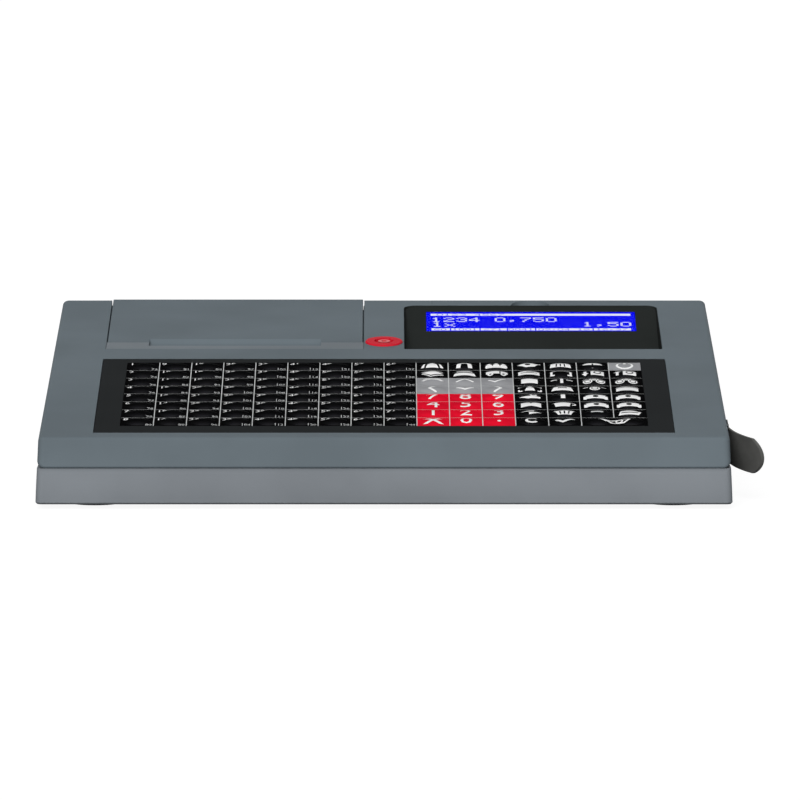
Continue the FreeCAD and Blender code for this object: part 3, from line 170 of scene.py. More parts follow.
# %% [markdown]
# ## Moulded plastic
# The shell is ABS with a fine spark-eroded texture: a grain of about a fifth of a millimetre
# that makes the surface matt, under a colour that hardly changes. A voronoi pattern would
# look like leather here, so plain noise makes the grain.

# %% Shell plastics
def moulded(name, colour, roughness=0.52, specular=0.25, grain_depth=0.00003, drift_by=0.03):
    material = finish(name, linear(*colour), roughness, specular=specular)
    drift(material, shade(*colour, by=1 - drift_by), shade(*colour, by=1 + drift_by), 14.0)
    grain(material, 4200.0, grain_depth, 0.35)
    return worn(material, roughness - 0.05, roughness + 0.06, 22.0)


shell_grey = moulded("shell_grey", (103, 113, 119), 0.6, 0.015)
# painted light: the lower shell is a lighter copy of the shell grey, set to stand in for the light
# its rounded front catches
lower_painted_light_grey = moulded("lower_shell_painted_light_grey", (125, 130, 135), 0.6, 0.015)
lid_grey = moulded("lid_grey", (103, 113, 119), 0.6, 0.015)
# painted light: the exit trim is a lighter copy of the shell grey, set to stand in for the light
# its far wall catches
trim_painted_light_grey = moulded("exit_trim_painted_light_grey", (118, 125, 130), 0.6, 0.015)
frame_black = moulded("keyboard_frame_black", (45, 47, 48), 0.7, 0.0)
panel_black = moulded("display_panel_black", (44, 47, 46), 0.7, 0.0)
socket_black = moulded("socket_black", (30, 31, 33), 0.45, 0.3)
print("plastics", len(bpy.data.materials))

# %% [markdown]
# ## Metals, rubber, paper and board
# Zinc-plated sheet shows soft spangles, ground steel shows fine lines along the grinding,
# and a circuit board is a green lacquer over copper tracks. Each is one pattern on the
# right scale, seen when the lid is open or the register is turned over.

# %% Metals
def plated_sheet():
    material = finish("plated_sheet", linear(176, 178, 180), 0.38, metallic=1.0)
    nodes, links, shader = parts_of(material)
    spangle = nodes.new("ShaderNodeTexVoronoi")
    spangle.inputs["Scale"].default_value = 220.0
    links.new(place_node(material), spangle.inputs["Vector"])
    ramp = nodes.new("ShaderNodeValToRGB")
    ramp.color_ramp.elements[0].color = linear(164, 166, 170)
    ramp.color_ramp.elements[1].color = linear(190, 191, 192)
    links.new(spangle.outputs["Color"], ramp.inputs["Fac"])
    links.new(ramp.outputs["Color"], shader.inputs["Base Color"])
    return worn(material, 0.3, 0.46, 60.0)


def ground_steel(name, colour, stretch, roughness=0.24):
    material = finish(name, linear(*colour), roughness, metallic=1.0)
    drift(material, shade(*colour, by=0.95), shade(*colour, by=1.04), 260.0, stretch)
    return grain(material, 900.0, 0.00001, 0.3, stretch)


sheet_zinc = plated_sheet()
bright_steel = ground_steel("bright_steel", (196, 197, 199), (0.1, 1, 1))
head_aluminium = ground_steel("head_aluminium", (178, 180, 183), (0.08, 1, 1), 0.34)
contact_plate = ground_steel("contact_plate", (196, 60, 66), (1, 1, 1), 0.4)
gold_wire = ground_steel("gold_wire", (214, 178, 96), (1, 0.1, 1), 0.25)
print("metals ready")


# %% Rubber, paper, board and film
def soft_rubber(name, colour, roughness):
    material = finish(name, linear(*colour), roughness, specular=0.03)
    drift(material, shade(*colour, by=0.95), shade(*colour, by=1.05), 90.0)
    return grain(material, 2600.0, 0.00004, 0.4)


def paper_white():
    material = finish("thermal_paper", linear(238, 238, 233), 0.62, specular=0.25)
    drift(material, linear(234, 234, 228), linear(242, 242, 238), 320.0)
    return grain(material, 1800.0, 0.00002, 0.3)


def core_card():
    material = finish("core_card", linear(176, 150, 116), 0.85, specular=0.15)
    drift(material, linear(164, 138, 104), linear(186, 160, 126), 500.0, (0.3, 1, 1))
    return grain(material, 1600.0, 0.00005, 0.5)


def solder_resist():
    """Green lacquer over tracks: a brick pattern of long runs, raised a little."""
    material = finish("solder_resist", linear(24, 92, 58), 0.32, specular=0.5)
    nodes, links, shader = parts_of(material)
    tracks = nodes.new("ShaderNodeTexBrick")
    tracks.inputs["Scale"].default_value = 130.0
    tracks.inputs["Mortar Size"].default_value = 0.05
    tracks.inputs["Color1"].default_value = linear(20, 84, 52)
    tracks.inputs["Color2"].default_value = linear(26, 98, 60)
    tracks.inputs["Mortar"].default_value = linear(44, 132, 84)
    links.new(place_node(material), tracks.inputs["Vector"])
    links.new(tracks.outputs["Color"], shader.inputs["Base Color"])
    bump = nodes.new("ShaderNodeBump")
    bump.inputs["Distance"].default_value = 0.00004
    links.new(tracks.outputs["Fac"], bump.inputs["Height"])
    links.new(bump.outputs["Normal"], shader.inputs["Normal"])
    return material


def flat_cable():
    """Grey ribbon cable: one soft ridge for each wire, across the ribbon's width."""
    material = finish("flat_cable", linear(196, 198, 200), 0.5, specular=0.3)
    nodes, links, shader = parts_of(material)
    wires = nodes.new("ShaderNodeTexWave")
    wires.inputs["Scale"].default_value = 125.0
    links.new(place_node(material), wires.inputs["Vector"])
    ramp = nodes.new("ShaderNodeValToRGB")
    ramp.color_ramp.elements[0].color = linear(160, 162, 165)
    ramp.color_ramp.elements[1].color = linear(208, 209, 211)
    links.new(wires.outputs["Fac"], ramp.inputs["Fac"])
    links.new(ramp.outputs["Color"], shader.inputs["Base Color"])
    bump = nodes.new("ShaderNodeBump")
    bump.inputs["Distance"].default_value = 0.0003
    links.new(wires.outputs["Fac"], bump.inputs["Height"])
    links.new(bump.outputs["Normal"], shader.inputs["Normal"])
    return material


foot_rubber = soft_rubber("foot_rubber", (38, 39, 40), 0.75)
cover_rubber = soft_rubber("cover_rubber", (88, 88, 86), 0.7)
anchor_rubber = soft_rubber("anchor_rubber", (28, 31, 34), 0.7)
roller_rubber = soft_rubber("roller_rubber", (40, 41, 43), 0.55)
thermal_paper = paper_white()
roll_card = core_card()
board_green = solder_resist()
ribbon_grey = flat_cable()
gear_white = moulded("gear_white", (222, 220, 212), 0.4, 0.3)
contact_film = moulded("contact_film", (205, 200, 186), 0.35, 0.4)
print("materials so far", len(bpy.data.materials))

# %% [markdown]
# ## Lit and clear pieces
# The graphic screen is lit from behind, so its blue is light that it sends out, swelling a
# little from place to place. The pane over it is clear with a dull anti-glare
# face, so it hardly mirrors the room.

# %% Screen materials
def lit(name, colour, strength=1.0):
    material = finish(name, linear(0, 0, 0), 0.5, specular=0.0)
    _, _, shader = parts_of(material)
    shader.inputs["Emission Color"].default_value = colour
    shader.inputs["Emission Strength"].default_value = strength
    return material


def lit_blue():
    """Blue back light: slow noise lets it swell a little from place to place."""
    material = lit("screen_blue", linear(0, 0, 255))
    nodes, links, shader = parts_of(material)
    noise = nodes.new("ShaderNodeTexNoise")
    noise.inputs["Scale"].default_value = 18.0
    links.new(place_node(material), noise.inputs["Vector"])
    ramp = nodes.new("ShaderNodeValToRGB")
    ramp.color_ramp.elements[0].color = linear(0, 0, 248)
    ramp.color_ramp.elements[1].color = linear(0, 10, 255)
    links.new(noise.outputs["Fac"], ramp.inputs["Fac"])
    links.new(ramp.outputs["Color"], shader.inputs["Emission Color"])
    return material


def clear_pane(name, colour, alpha, roughness):
    material = finish(name, linear(*colour), roughness, specular=0.15, Alpha=alpha)
    return grain(material, 5200.0, 0.00001, 0.15)


screen_blue = lit_blue()
screen_white = lit("screen_white", linear(244, 246, 255))
digit_glow = lit("digit_glow", linear(120, 235, 205), 0.9)
screen_pane = clear_pane("screen_pane", (10, 12, 20), 0.06, 0.35)
head_pane = clear_pane("head_pane", (26, 30, 30), 0.35, 0.12)
digits_dark = moulded("digits_dark", (14, 18, 18), 0.3, 0.4)
print("screen materials ready")

# %% [markdown]
# ## Red reader
# The round reader for the operator's key is glossy red plastic. Its pocket looks darker
# because it is deep, so the colour itself hardly changes.

# %% Reader material
reader_red = moulded("reader_red", (210, 35, 52), 0.34, 0.004, 0.00001, 0.02)

# %% [markdown]
# ## Dressing the solids
# A node whose shape is right keeps it and gets its finish here. The table pairs each
# finish with its nodes, and a check makes sure that no node is forgotten.

# %% Materials on the kept nodes
finishes = {
    shell_grey: ["upper_case", "display_head"],
    lid_grey: ["printer_lid"],
    trim_painted_light_grey: ["exit_trim"],
    lower_painted_light_grey: ["lower_case"],
    frame_black: ["keyboard_bezel"],
    panel_black: ["display_tray", "paper_bucket", "display_rails"],
    socket_black: ["drawer_socket", "serial_sockets", "network_socket", "power_inlet",
                   "battery_holder", "buzzer"],
    contact_film: ["key_overlay", "legend_sheet", "switch_membrane"],
    sheet_zinc: ["keyboard_plate", "printer_frame", "screen_frame", "case_screws",
                 "board_screws", "side_socket", "feed_motor"],
    bright_steel: ["tear_bar", "lid_hinge_pins", "platen_shaft", "idler_pin", "head_spring",
                   "reader_spring", "backup_battery", "fold_pin"],
    head_aluminium: ["thermal_head"],
    board_green: ["screen_board", "reader_board", "main_board"],
    ribbon_grey: ["keyboard_ribbon", "screen_ribbon"],
    roller_rubber: ["platen_roller"],
    foot_rubber: ["rubber_feet"],
    cover_rubber: ["side_cover"],
    anchor_rubber: ["cover_anchor"],
    thermal_paper: ["paper_roll", "paper_web"],
    roll_card: ["roll_core"],
    gear_white: ["platen_bushes", "platen_gear", "idler_gear", "motor_pinion"],
    screen_blue: ["screen_glass"],
    screen_pane: ["screen_pane"],
    head_pane: ["head_window"],
    digits_dark: ["digits_panel"],
    reader_red: ["reader_ring"],
    contact_plate: ["reader_contact"],
}


def dress(node, material):
    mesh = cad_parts[node].data
    mesh.materials.clear()
    mesh.materials.append(material)


for material, names in finishes.items():
    for name in names:
        dress(name, material)
dressed = {name for names in finishes.values() for name in names}
print("dressed", len(dressed), "left", sorted(set(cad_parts) - dressed))

# %% [markdown]
# ## Places on the sloped deck
# The deck slopes by 8.5 degrees. Pieces on it are drawn flat, in millimetres from the
# middle of the front edge, and one matrix carries them to their place.

# %% Deck frame
deck_slope = math.radians(8.5)
panel_slope = math.radians(12.5)
deck_origin = Vector((-9.759, -162.818, 40.4)) * mm
to_deck = (Matrix.Translation(deck_origin) @ Matrix.Rotation(deck_slope, 4, "X")
           @ Matrix.Scale(mm, 4))


def settle(mesh_maker, name, material_list, place, body):
    """Turns a bmesh in millimetres into a finished object at the origin."""
    mesh_maker.transform(place)
    mesh = bpy.data.meshes.new(name)
    mesh_maker.to_mesh(mesh)
    mesh_maker.free()
    for material in material_list:
        mesh.materials.append(material)
    piece = bpy.data.objects.new(name, mesh)
    bpy.context.collection.objects.link(piece)
    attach(piece, body)
    return piece


print("deck origin", [round(value, 4) for value in deck_origin])

# %% [markdown]
# ## Embossed key film
# The keyboard is one sheet of clear film with 128 low round domes, printed from below in
# black, grey or red. A dome is a short arc spun about its middle, which gives clean rings
# for the light to run over, and the flat corners of the field are filled in round it.
# The double field at the lower right has two domes as well.

# %% One key field
pitch = 19.05
columns, rows = 16, 8
field_left = -pitch * columns / 2
field_front = 27.6
film_n = -0.25
dome_r = 7.9
dome_h = 1.3
dome_sphere = (dome_r ** 2 + dome_h ** 2) / (2 * dome_h)


def dome_height(x, y):
    """Height of the film over its flat part, for a place counted from the field's middle."""
    reach = math.hypot(x, y)
    if reach >= dome_r:
        return 0.0
    return math.sqrt(dome_sphere ** 2 - reach ** 2) - (dome_sphere - dome_h)


def one_field():
    """A dome in its square of flat film, as a mesh that is copied to every field."""
    field = bmesh.new()
    rings, spokes = 5, 28
    reaches = [dome_r * k / rings for k in range(rings + 1)]
    arc = [field.verts.new((reach, 0, dome_height(reach, 0))) for reach in reaches]
    edges = [field.edges.new(pair) for pair in zip(arc, arc[1:])]
    bmesh.ops.spin(field, geom=arc + edges, cent=(0, 0, 0), axis=(0, 0, 1),
                   angle=2 * math.pi, steps=spokes, use_merge=True)
    bmesh.ops.remove_doubles(field, verts=field.verts[:], dist=0.001)
    rim = [edge for edge in field.edges if edge.is_boundary]
    for edge in rim:
        edge.smooth = False
    square = bmesh.ops.create_circle(field, segments=4, radius=pitch / math.sqrt(2),
                                     matrix=Matrix.Rotation(math.pi / 4, 4, "Z"))
    outline = {edge for vertex in square["verts"] for edge in vertex.link_edges}
    bmesh.ops.triangle_fill(field, use_beauty=True, edges=rim + list(outline))
    bmesh.ops.recalc_face_normals(field, faces=field.faces[:])
    mesh = bpy.data.meshes.new("one_field")
    field.to_mesh(mesh)
    print("field", len(field.faces), "faces, rim", len(rim))
    field.free()
    return mesh


def field_middle(column, row):
    """Middle of a field on the deck; columns from the left, rows from the back."""
    return (field_left + pitch * (column - 0.5), field_front + pitch * (rows - row + 0.5))


# %% [markdown]
# The copies are joined at their edges, the outline is pulled down to the sheet below, and
# each field gets the print that shows through it: black for most, grey for the arrow fields
# and the power field, red for the number pad.
# The black is seen through glossy film. A plain gloss would mirror the white room wherever
# the flat film is seen at a low angle. So the black is mixed as a dark mirror whose edge
# tint is black: it shines only where a dome turns towards the eye. The film isn't metal,
# the metallic socket is only a way to that look.

# %% The whole film
grey_fields = {(column, row) for column in (10, 11, 12) for row in (3, 4)} | {(16, 1)}
red_fields = {(column, row) for column in (10, 11, 12) for row in (5, 6, 7, 8)}


def key_print(name, colour, rough=0.5, **sockets):
    material = finish(name, linear(*colour), rough, specular=0.0, **sockets)
    drift(material, shade(*colour, by=0.96), shade(*colour, by=1.05), 40.0)
    return grain(material, 3000.0, 0.00001, 0.2)


film_black = key_print("film_black", (59, 59, 61), 0.31, metallic=1.0,
                       Specular_Tint=(0, 0, 0, 1))
film_grey = key_print("film_grey", (156, 157, 160))
film_red = key_print("film_red", (230, 21, 48))
ink_white = key_print("ink_white", (250, 251, 251))
ink_line = key_print("ink_line", (208, 210, 210))
ink_soft = key_print("ink_soft", (196, 198, 198))
skirt_drop = 0.8


def make_film():
    film = bmesh.new()
    template = one_field()
    for row in range(1, rows + 1):
        for column in range(1, columns + 1):
            known = len(film.verts)
            faces_known = len(film.faces)
            film.from_mesh(template)
            film.verts.ensure_lookup_table()
            film.faces.ensure_lookup_table()
            x, y = field_middle(column, row)
            bmesh.ops.translate(film, verts=film.verts[known:], vec=(x, y, film_n))
            place = (column, row)
            index = 1 if place in grey_fields else 2 if place in red_fields else 0
            for face in film.faces[faces_known:]:
                face.material_index = index
                face.smooth = True
    bmesh.ops.remove_doubles(film, verts=film.verts[:], dist=0.001)
    border = [edge for edge in film.edges if edge.is_boundary]
    skirt = bmesh.ops.extrude_edge_only(film, edges=border)
    low = [item for item in skirt["geom"] if isinstance(item, bmesh.types.BMVert)]
    bmesh.ops.translate(film, verts=low, vec=(0, 0, -skirt_drop))
    for item in skirt["geom"]:
        if isinstance(item, bmesh.types.BMFace):
            item.smooth = False
    bottom = [item for item in skirt["geom"]
              if isinstance(item, bmesh.types.BMEdge) and item.is_boundary]
    bmesh.ops.edgenet_fill(film, edges=bottom)
    for edge in border:
        edge.smooth = False
    print("film", len(film.faces), "faces")
    return film


key_film = settle(make_film(), "key_film", [film_black, film_grey, film_red], to_deck, "case")
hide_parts("key_overlay")

# %% [markdown]
# ## Printed lines, numbers and pictograms
# The legends are printed on the card under the film, and the domes bend what is seen
# through them. Flat ink shapes are drawn in millimetres, cut into short pieces, and each
# corner is lifted to the film's own height, so the print follows every dome.

# %% Ink shapes
ink_lift = 0.03


def bar(ink, x0, y0, x1, y1, width, index=0):
    """A straight stroke between two places."""
    length = math.hypot(x1 - x0, y1 - y0)
    turn = Matrix.Rotation(math.atan2(y1 - y0, x1 - x0), 4, "Z")
    size = Matrix.Diagonal((length, width, 1, 1))
    place = Matrix.Translation(((x0 + x1) / 2, (y0 + y1) / 2, 0))
    made = bmesh.ops.create_grid(ink, x_segments=1, y_segments=1, size=0.5,
                                 matrix=place @ turn @ size)
    for face in {face for vertex in made["verts"] for face in vertex.link_faces}:
        face.material_index = index


def disc(ink, x, y, radius, index=0, steps=14):
    made = bmesh.ops.create_circle(ink, cap_ends=True, segments=steps, radius=radius,
                                   matrix=Matrix.Translation((x, y, 0)))
    for face in {face for vertex in made["verts"] for face in vertex.link_faces}:
        face.material_index = index


def arc(ink, x, y, radius, width, start=0.0, sweep=360.0, index=0):
    """A round stroke: one short edge spun about the middle."""
    begin = math.radians(start)
    ends = [ink.verts.new((x + reach * math.cos(begin), y + reach * math.sin(begin), 0))
            for reach in (radius - width / 2, radius + width / 2)]
    edge = ink.edges.new(ends)
    steps = max(4, round(abs(sweep) / 22))
    known = set(ink.faces)
    bmesh.ops.spin(ink, geom=ends + [edge], cent=(x, y, 0), axis=(0, 0, 1),
                   angle=math.radians(sweep), steps=steps, use_merge=abs(sweep) == 360.0)
    for face in set(ink.faces) - known:
        face.material_index = index


def patch(ink, *corners, index=0):
    made = [ink.verts.new((x, y, 0)) for x, y in corners]
    ink.faces.new(made).material_index = index


def strokes(ink, places, width, index=0):
    for (x0, y0), (x1, y1) in zip(places, places[1:]):
        bar(ink, x0, y0, x1, y1, width, index)
    for x, y in places:
        disc(ink, x, y, width / 2, index, 8)


print("ink shapes ready")

# %% [markdown]
# Plain pictograms for the fields at the right: a figure, notes, coins, a cup, a basket and
# so on, each a few strokes and patches. White ink is index 0 and the dark of the field,
# used for gaps inside a shape, is index 1.

# %% Pictograms
def person(ink, x=0.0, y=0.0, size=1.0):
    disc(ink, x, y + 3.0 * size, 1.7 * size)
    patch(ink, (x - 3.6 * size, y - 4 * size), (x + 3.6 * size, y - 4 * size),
          (x + 2.4 * size, y + 1.0 * size), (x - 2.4 * size, y + 1.0 * size))


def people(ink):
    for x in (-4.2, 0, 4.2):
        person(ink, x, -0.5, 0.62)
    bar(ink, -6, -3.6, 6, -3.6, 1.0)


def guest(ink):
    person(ink)
    for side in (-1, 1):
        patch(ink, (side * 6.4, -3.6), (side * 4.6, -3.6), (side * 3.8, 2.0), (side * 4.6, 2.0))


def doorway(ink):
    arc(ink, 0, 0.5, 3.0, 2.2, 0, 180)
    for side in (-1, 1):
        bar(ink, side * 3.0, 0.6, side * 3.4, -4.2, 2.4)


def note(ink, x=0.0, y=0.0, width=11.0, height=6.0):
    patch(ink, (x - width / 2, y - height / 2), (x + width / 2, y - height / 2),
          (x + width / 2, y + height / 2), (x - width / 2, y + height / 2))
    disc(ink, x, y, height * 0.3, 1)
    disc(ink, x, y, height * 0.16)


def notes(ink):
    patch(ink, (-6, 0), (-1, -3.6), (6, -1.2), (1.6, 2.6))
    strokes(ink, [(-5.8, -1.4), (-1, -5.0), (6, -2.6)], 0.6)
    strokes(ink, [(-5.8, 1.6), (1.4, 4.0), (6, 0.6)], 0.6)


def tray_with_notes(ink):
    patch(ink, (-6.4, -4), (6.4, -4), (5.4, -1), (-5.4, -1))
    for k in range(3):
        bar(ink, -4.4, 0.6 + 1.5 * k, 4.4, 0.6 + 1.5 * k, 0.8)


def van(ink):
    patch(ink, (-6, -2), (1.6, -2), (1.6, 3.2), (-6, 3.2))
    patch(ink, (2.2, -2), (6.2, -2), (6.2, 0.6), (4.6, 2.4), (2.2, 2.4))
    for x in (-3.6, 3.8):
        disc(ink, x, -2.4, 1.7)
        disc(ink, x, -2.4, 0.7, 1)


def tag(ink):
    patch(ink, (-6.4, 0), (-1.5, -3.6), (3.6, -2.6), (5.4, 1.2), (0, 4.2))
    disc(ink, -0.4, 0.4, 1.6, 1)
    strokes(ink, [(4.6, 1.6), (6.6, 3.4)], 0.8)


def crate(ink):
    patch(ink, (-6, -3.4), (6, -3.4), (5.2, 3.4), (-5.2, 3.4))
    for x in (-2.4, 0, 2.4):
        bar(ink, x, -3.0, x * 0.9, 2.0, 0.7, 1)
    bar(ink, -5.2, 1.8, 5.2, 1.8, 0.5, 1)


def parasol(ink):
    arc(ink, 0, -1.0, 3.0, 5.4, 12, 156)
    bar(ink, 0, -4.4, 0, 2.0, 0.9, 1)
    bar(ink, 0, -4.6, 0, -1.6, 0.8)


def power(ink):
    arc(ink, 0, -0.6, 4.4, 1.3, 118, 304)
    bar(ink, 0, 0.4, 0, 4.6, 1.5)


def ticket(ink):
    patch(ink, (-6, -3.2), (6, -3.2), (6, 1.0), (-2, 3.4), (-6, 2.0))
    bar(ink, -4.6, -0.6, 4.6, -0.6, 0.8, 1)
    bar(ink, -1.4, 1.0, 2.6, 1.0, 0.7, 1)


def printing(ink):
    strokes(ink, [(-5.4, -3.4), (-5.4, 2.0), (-3.0, 3.8), (3.0, 3.8), (5.4, 2.0), (5.4, -3.4)], 1.3)
    for side in (-1, 1):
        bar(ink, side * 6.2, -3.6, side * 3.6, -3.6, 1.2)


def sheet_arrow(ink, way):
    bar(ink, -4.6, -3.4, -4.6, 3.4, 1.6)
    patch(ink, (-6.6, way * 1.0), (-2.6, way * 1.0), (-4.6, way * 4.2))
    patch(ink, (-1.4, -3.6), (6.0, -3.6), (6.0, 3.6), (-1.4, 3.6))
    arc(ink, 2.3, 0, 1.9, 0.8, 0, 360, 1)


def page(ink):
    patch(ink, (-4.6, -4.0), (4.6, -4.0), (4.6, 4.0), (-4.6, 4.0))


def page_turn(ink):
    arc(ink, 0, -6.4, 8.6, 2.0, 48, 84)
    arc(ink, 0, 0.6, 6.6, 0.7, 40, 100)


def chevron(ink, turn):
    made = [(-4.4, -1.6), (0, 2.0), (4.4, -1.6)]
    spin = math.radians(turn)
    strokes(ink, [(x * math.cos(spin) - y * math.sin(spin), x * math.sin(spin) + y * math.cos(spin))
                  for x, y in made], 1.5)


def check_mark(ink, width=1.1):
    strokes(ink, [(-4.6, 0.4), (-1.2, -2.6), (4.8, 3.2)], width)


def more_or_less(ink):
    bar(ink, -6.2, 0.4, -2.6, 0.4, 1.2)
    bar(ink, 2.6, 0.4, 6.2, 0.4, 1.2)
    bar(ink, 0, -4, 0, 3.6, 1.6)


def coins(ink, mark):
    for x, y in ((-3.6, -1.6), (3.6, -1.6), (0, 1.8)):
        disc(ink, x, y, 2.7)
        arc(ink, x, y, 1.7, 0.5, 0, 360, 1)
    if mark:
        bar(ink, -6.4, 3.0, -3.6, 3.0, 0.9)


def framed_person(ink):
    person(ink, 0, -0.4, 0.8)
    for side in (-1, 1):
        for end in (-1, 1):
            corner = [(side * 4.6, end * 3.6), (side * 6.2, end * 3.6), (side * 6.2, end * 2.0)]
            strokes(ink, corner, 0.9)


def drawer(ink):
    patch(ink, (-6.2, -3.2), (6.2, -3.2), (4.6, 2.6), (-4.6, 2.6))
    bar(ink, -2.6, 0.2, 2.6, 0.2, 1.4, 1)


def fewer_coins(ink):
    disc(ink, 0, -0.4, 3.0)
    arc(ink, 0, -0.4, 1.8, 0.6, 0, 360, 1)
    bar(ink, -6.4, 1.6, -3.8, 1.6, 0.9)
    bar(ink, 3.8, 1.6, 6.4, 1.6, 0.9)


def card(ink):
    patch(ink, (-6.2, -3.4), (6.2, -3.4), (6.2, 3.0), (-6.2, 3.0))
    bar(ink, -6.2, 1.2, 6.2, 1.2, 0.9, 1)


def palm(ink):
    patch(ink, (-6.6, -1.2), (-1.4, -3.6), (5.4, -2.8), (5.6, -0.6), (-1.0, -0.2))
    disc(ink, 1.6, 1.8, 2.1)
    disc(ink, 1.6, 1.8, 1.0, 1)


def pillar(ink):
    bar(ink, 0, -3.4, 0, 3.4, 2.4)


def clipped_note(ink):
    note(ink, 0, -0.6, 11.0, 5.4)
    for side in (-1, 1):
        patch(ink, (side * 6.8, -3.8), (side * 5.0, -3.8), (side * 5.6, 0.4), (side * 6.8, 0.4))


def open_book(ink):
    for side in (-1, 1):
        patch(ink, (0, -3.0), (side * 5.6, -3.8), (side * 5.6, 3.4), (0, 2.2))
    patch(ink, (-1.8, 3.6), (1.8, 3.6), (0, 0.2), index=1)


def cup(ink):
    patch(ink, (-5.6, 3.2), (-4.6, -3.4), (3.2, -3.4), (4.2, 3.2))
    arc(ink, 4.6, 0.6, 1.9, 0.9, -90, 180)


def swap(ink):
    patch(ink, (-6.0, 0.6), (1.4, 0.6), (1.4, 3.4))
    patch(ink, (6.0, -0.6), (-1.4, -0.6), (-1.4, -3.4))


def basket(ink):
    patch(ink, (-5.4, 2.4), (-3.6, -3.6), (3.6, -3.6), (5.4, 2.4))
    for x in (-2.2, 0, 2.2):
        bar(ink, x * 1.2, 1.6, x, -2.8, 0.8, 1)
    bar(ink, -6.0, 3.0, 6.0, 3.0, 1.0)


def slot_bar(ink):
    bar(ink, -3.4, 0.6, 3.4, 0.6, 2.2, 2)


def swiped_card(ink):
    patch(ink, (-6.4, -3.6), (4.8, -3.6), (6.4, 0.8), (-4.8, 3.4))
    bar(ink, -4.8, -1.0, 4.6, -1.0, 1.0, 1)


def turn_back(ink):
    arc(ink, 0, 0, 3.2, 1.5, 40, 280)


def pay(ink):
    patch(ink, (-9.0, 3.4), (-2.0, 0.4), (-5.0, -1.2))
    strokes(ink, [(-3.6, 0.6), (4.4, 2.8), (8.4, 1.4), (5.4, -3.0), (-0.6, -3.0),
                  (-3.6, -0.6)], 1.2)
    arc(ink, 2.6, -0.4, 1.8, 0.9)


pictograms = {
    (10, 1): guest, (11, 1): doorway, (12, 1): people, (13, 1): tag, (14, 1): crate,
    (15, 1): parasol, (16, 1): power, (10, 2): notes, (11, 2): tray_with_notes, (12, 2): van,
    (13, 2): ticket, (14, 2): printing, (15, 2): lambda ink: sheet_arrow(ink, -1),
    (16, 2): lambda ink: sheet_arrow(ink, 1), (10, 3): page_turn,
    (11, 3): lambda ink: chevron(ink, 0), (12, 3): check_mark, (13, 3): page,
    (14, 3): more_or_less, (15, 3): lambda ink: coins(ink, True),
    (16, 3): lambda ink: coins(ink, False), (10, 4): lambda ink: chevron(ink, 90),
    (11, 4): lambda ink: chevron(ink, 180), (12, 4): lambda ink: chevron(ink, -90),
    (13, 4): framed_person, (14, 4): drawer, (15, 4): fewer_coins, (16, 4): card,
    (13, 5): palm, (14, 5): pillar, (15, 5): clipped_note, (16, 5): clipped_note,
    (13, 6): open_book, (14, 6): cup, (15, 6): clipped_note, (16, 6): clipped_note,
    (13, 7): swap, (14, 7): basket, (15, 7): slot_bar, (16, 7): swiped_card,
    (13, 8): turn_back, (14, 8): lambda ink: check_mark(ink, 1.8),
}
print("pictograms", len(pictograms))

# %% [markdown]
# Numbers are text objects turned into meshes once for each digit, then copied. The plain
# fields count down each column, with a second, smaller number for their second level.

# %% Digits
def digit_mesh(mark):
    """One digit as a mesh, one unit tall, its middle at zero."""
    text = bpy.data.curves.new("digit", "FONT")
    text.body = mark
    text.resolution_u = 2
    holder = bpy.data.objects.new("digit", text)
    mesh = bpy.data.meshes.new_from_object(holder)
    across = [vertex.co.x for vertex in mesh.vertices]
    tall = [vertex.co.y for vertex in mesh.vertices]
    scale = 1 / max(max(tall) - min(tall), 0.3)
    mesh.transform(Matrix.Diagonal((scale, scale, 1, 1))
                   @ Matrix.Translation((-(min(across) + max(across)) / 2, -min(tall), 0)))
    return mesh


digits = {mark: digit_mesh(mark) for mark in "0123456789x"}


def number(ink, text, x, y, height, step, index=0, stretch=1.0):
    """A number whose lower left corner is at x, y."""
    for place, mark in enumerate(text):
        known, faces_known = len(ink.verts), len(ink.faces)
        ink.from_mesh(digits[mark])
        ink.verts.ensure_lookup_table()
        ink.faces.ensure_lookup_table()
        bmesh.ops.transform(ink, verts=ink.verts[known:],
                            matrix=Matrix.Translation((x + step * (place + 0.5), y, 0))
                            @ Matrix.Diagonal((height * stretch, height, 1, 1)))
        for face in ink.faces[faces_known:]:
            face.material_index = index


print("digits", len(digits), "the eight has", len(digits["8"].polygons), "faces")


# %% Laying the print on the domes
def cut_fine(ink, reach, step=1.2):
    """Cuts flat print into short pieces, so that it can bend."""
    count = int(reach / step)
    for k in range(-count, count + 1):
        for normal in ((1, 0, 0), (0, 1, 0)):
            everything = ink.verts[:] + ink.edges[:] + ink.faces[:]
            bmesh.ops.bisect_plane(ink, geom=everything, dist=0.0001,
                                   plane_co=(k * step + 0.01, k * step + 0.01, 0), plane_no=normal)


def lay_on_film(ink):
    """Lifts each corner of the print to the film under it."""
    for vertex in ink.verts:
        column = math.floor((vertex.co.x - field_left) / pitch)
        row = math.floor((vertex.co.y - field_front) / pitch)
        x = vertex.co.x - field_left - pitch * (column + 0.5)
        y = vertex.co.y - field_front - pitch * (row + 0.5)
        vertex.co.z += film_n + dome_height(x, y)


def raise_ink(ink):
    """White lies just over the film, and the dark gaps just over the white."""
    levels = {0: 1, 1: 2, 2: 1, 3: 1}
    for face in ink.faces:
        for vertex in face.verts:
            vertex.co.z = ink_lift * levels[face.material_index]


number_columns = 9
first_h, first_step, first_stretch = 5.0, 2.9, 0.9
second_h, second_step, second_stretch = 3.6, 1.9, 0.8
first_left, first_low, second_side = 8.2, 3.4, 8.6


def print_numbers():
    """Each plain field has its number at the back left and a second at the front right."""
    ink = bmesh.new()
    for column in range(1, number_columns + 1):
        for row in range(1, rows + 1):
            x, y = field_middle(column, row)
            count = (column - 1) * rows + row
            number(ink, str(count), x - first_left, y + first_low, first_h, first_step, 0,
                   first_stretch)
            second = str(count + number_columns * rows)
            number(ink, second, x + second_side - second_step * len(second), y - second_side,
                   second_h, second_step, 3, second_stretch)
    raise_ink(ink)
    lay_on_film(ink)
    return ink


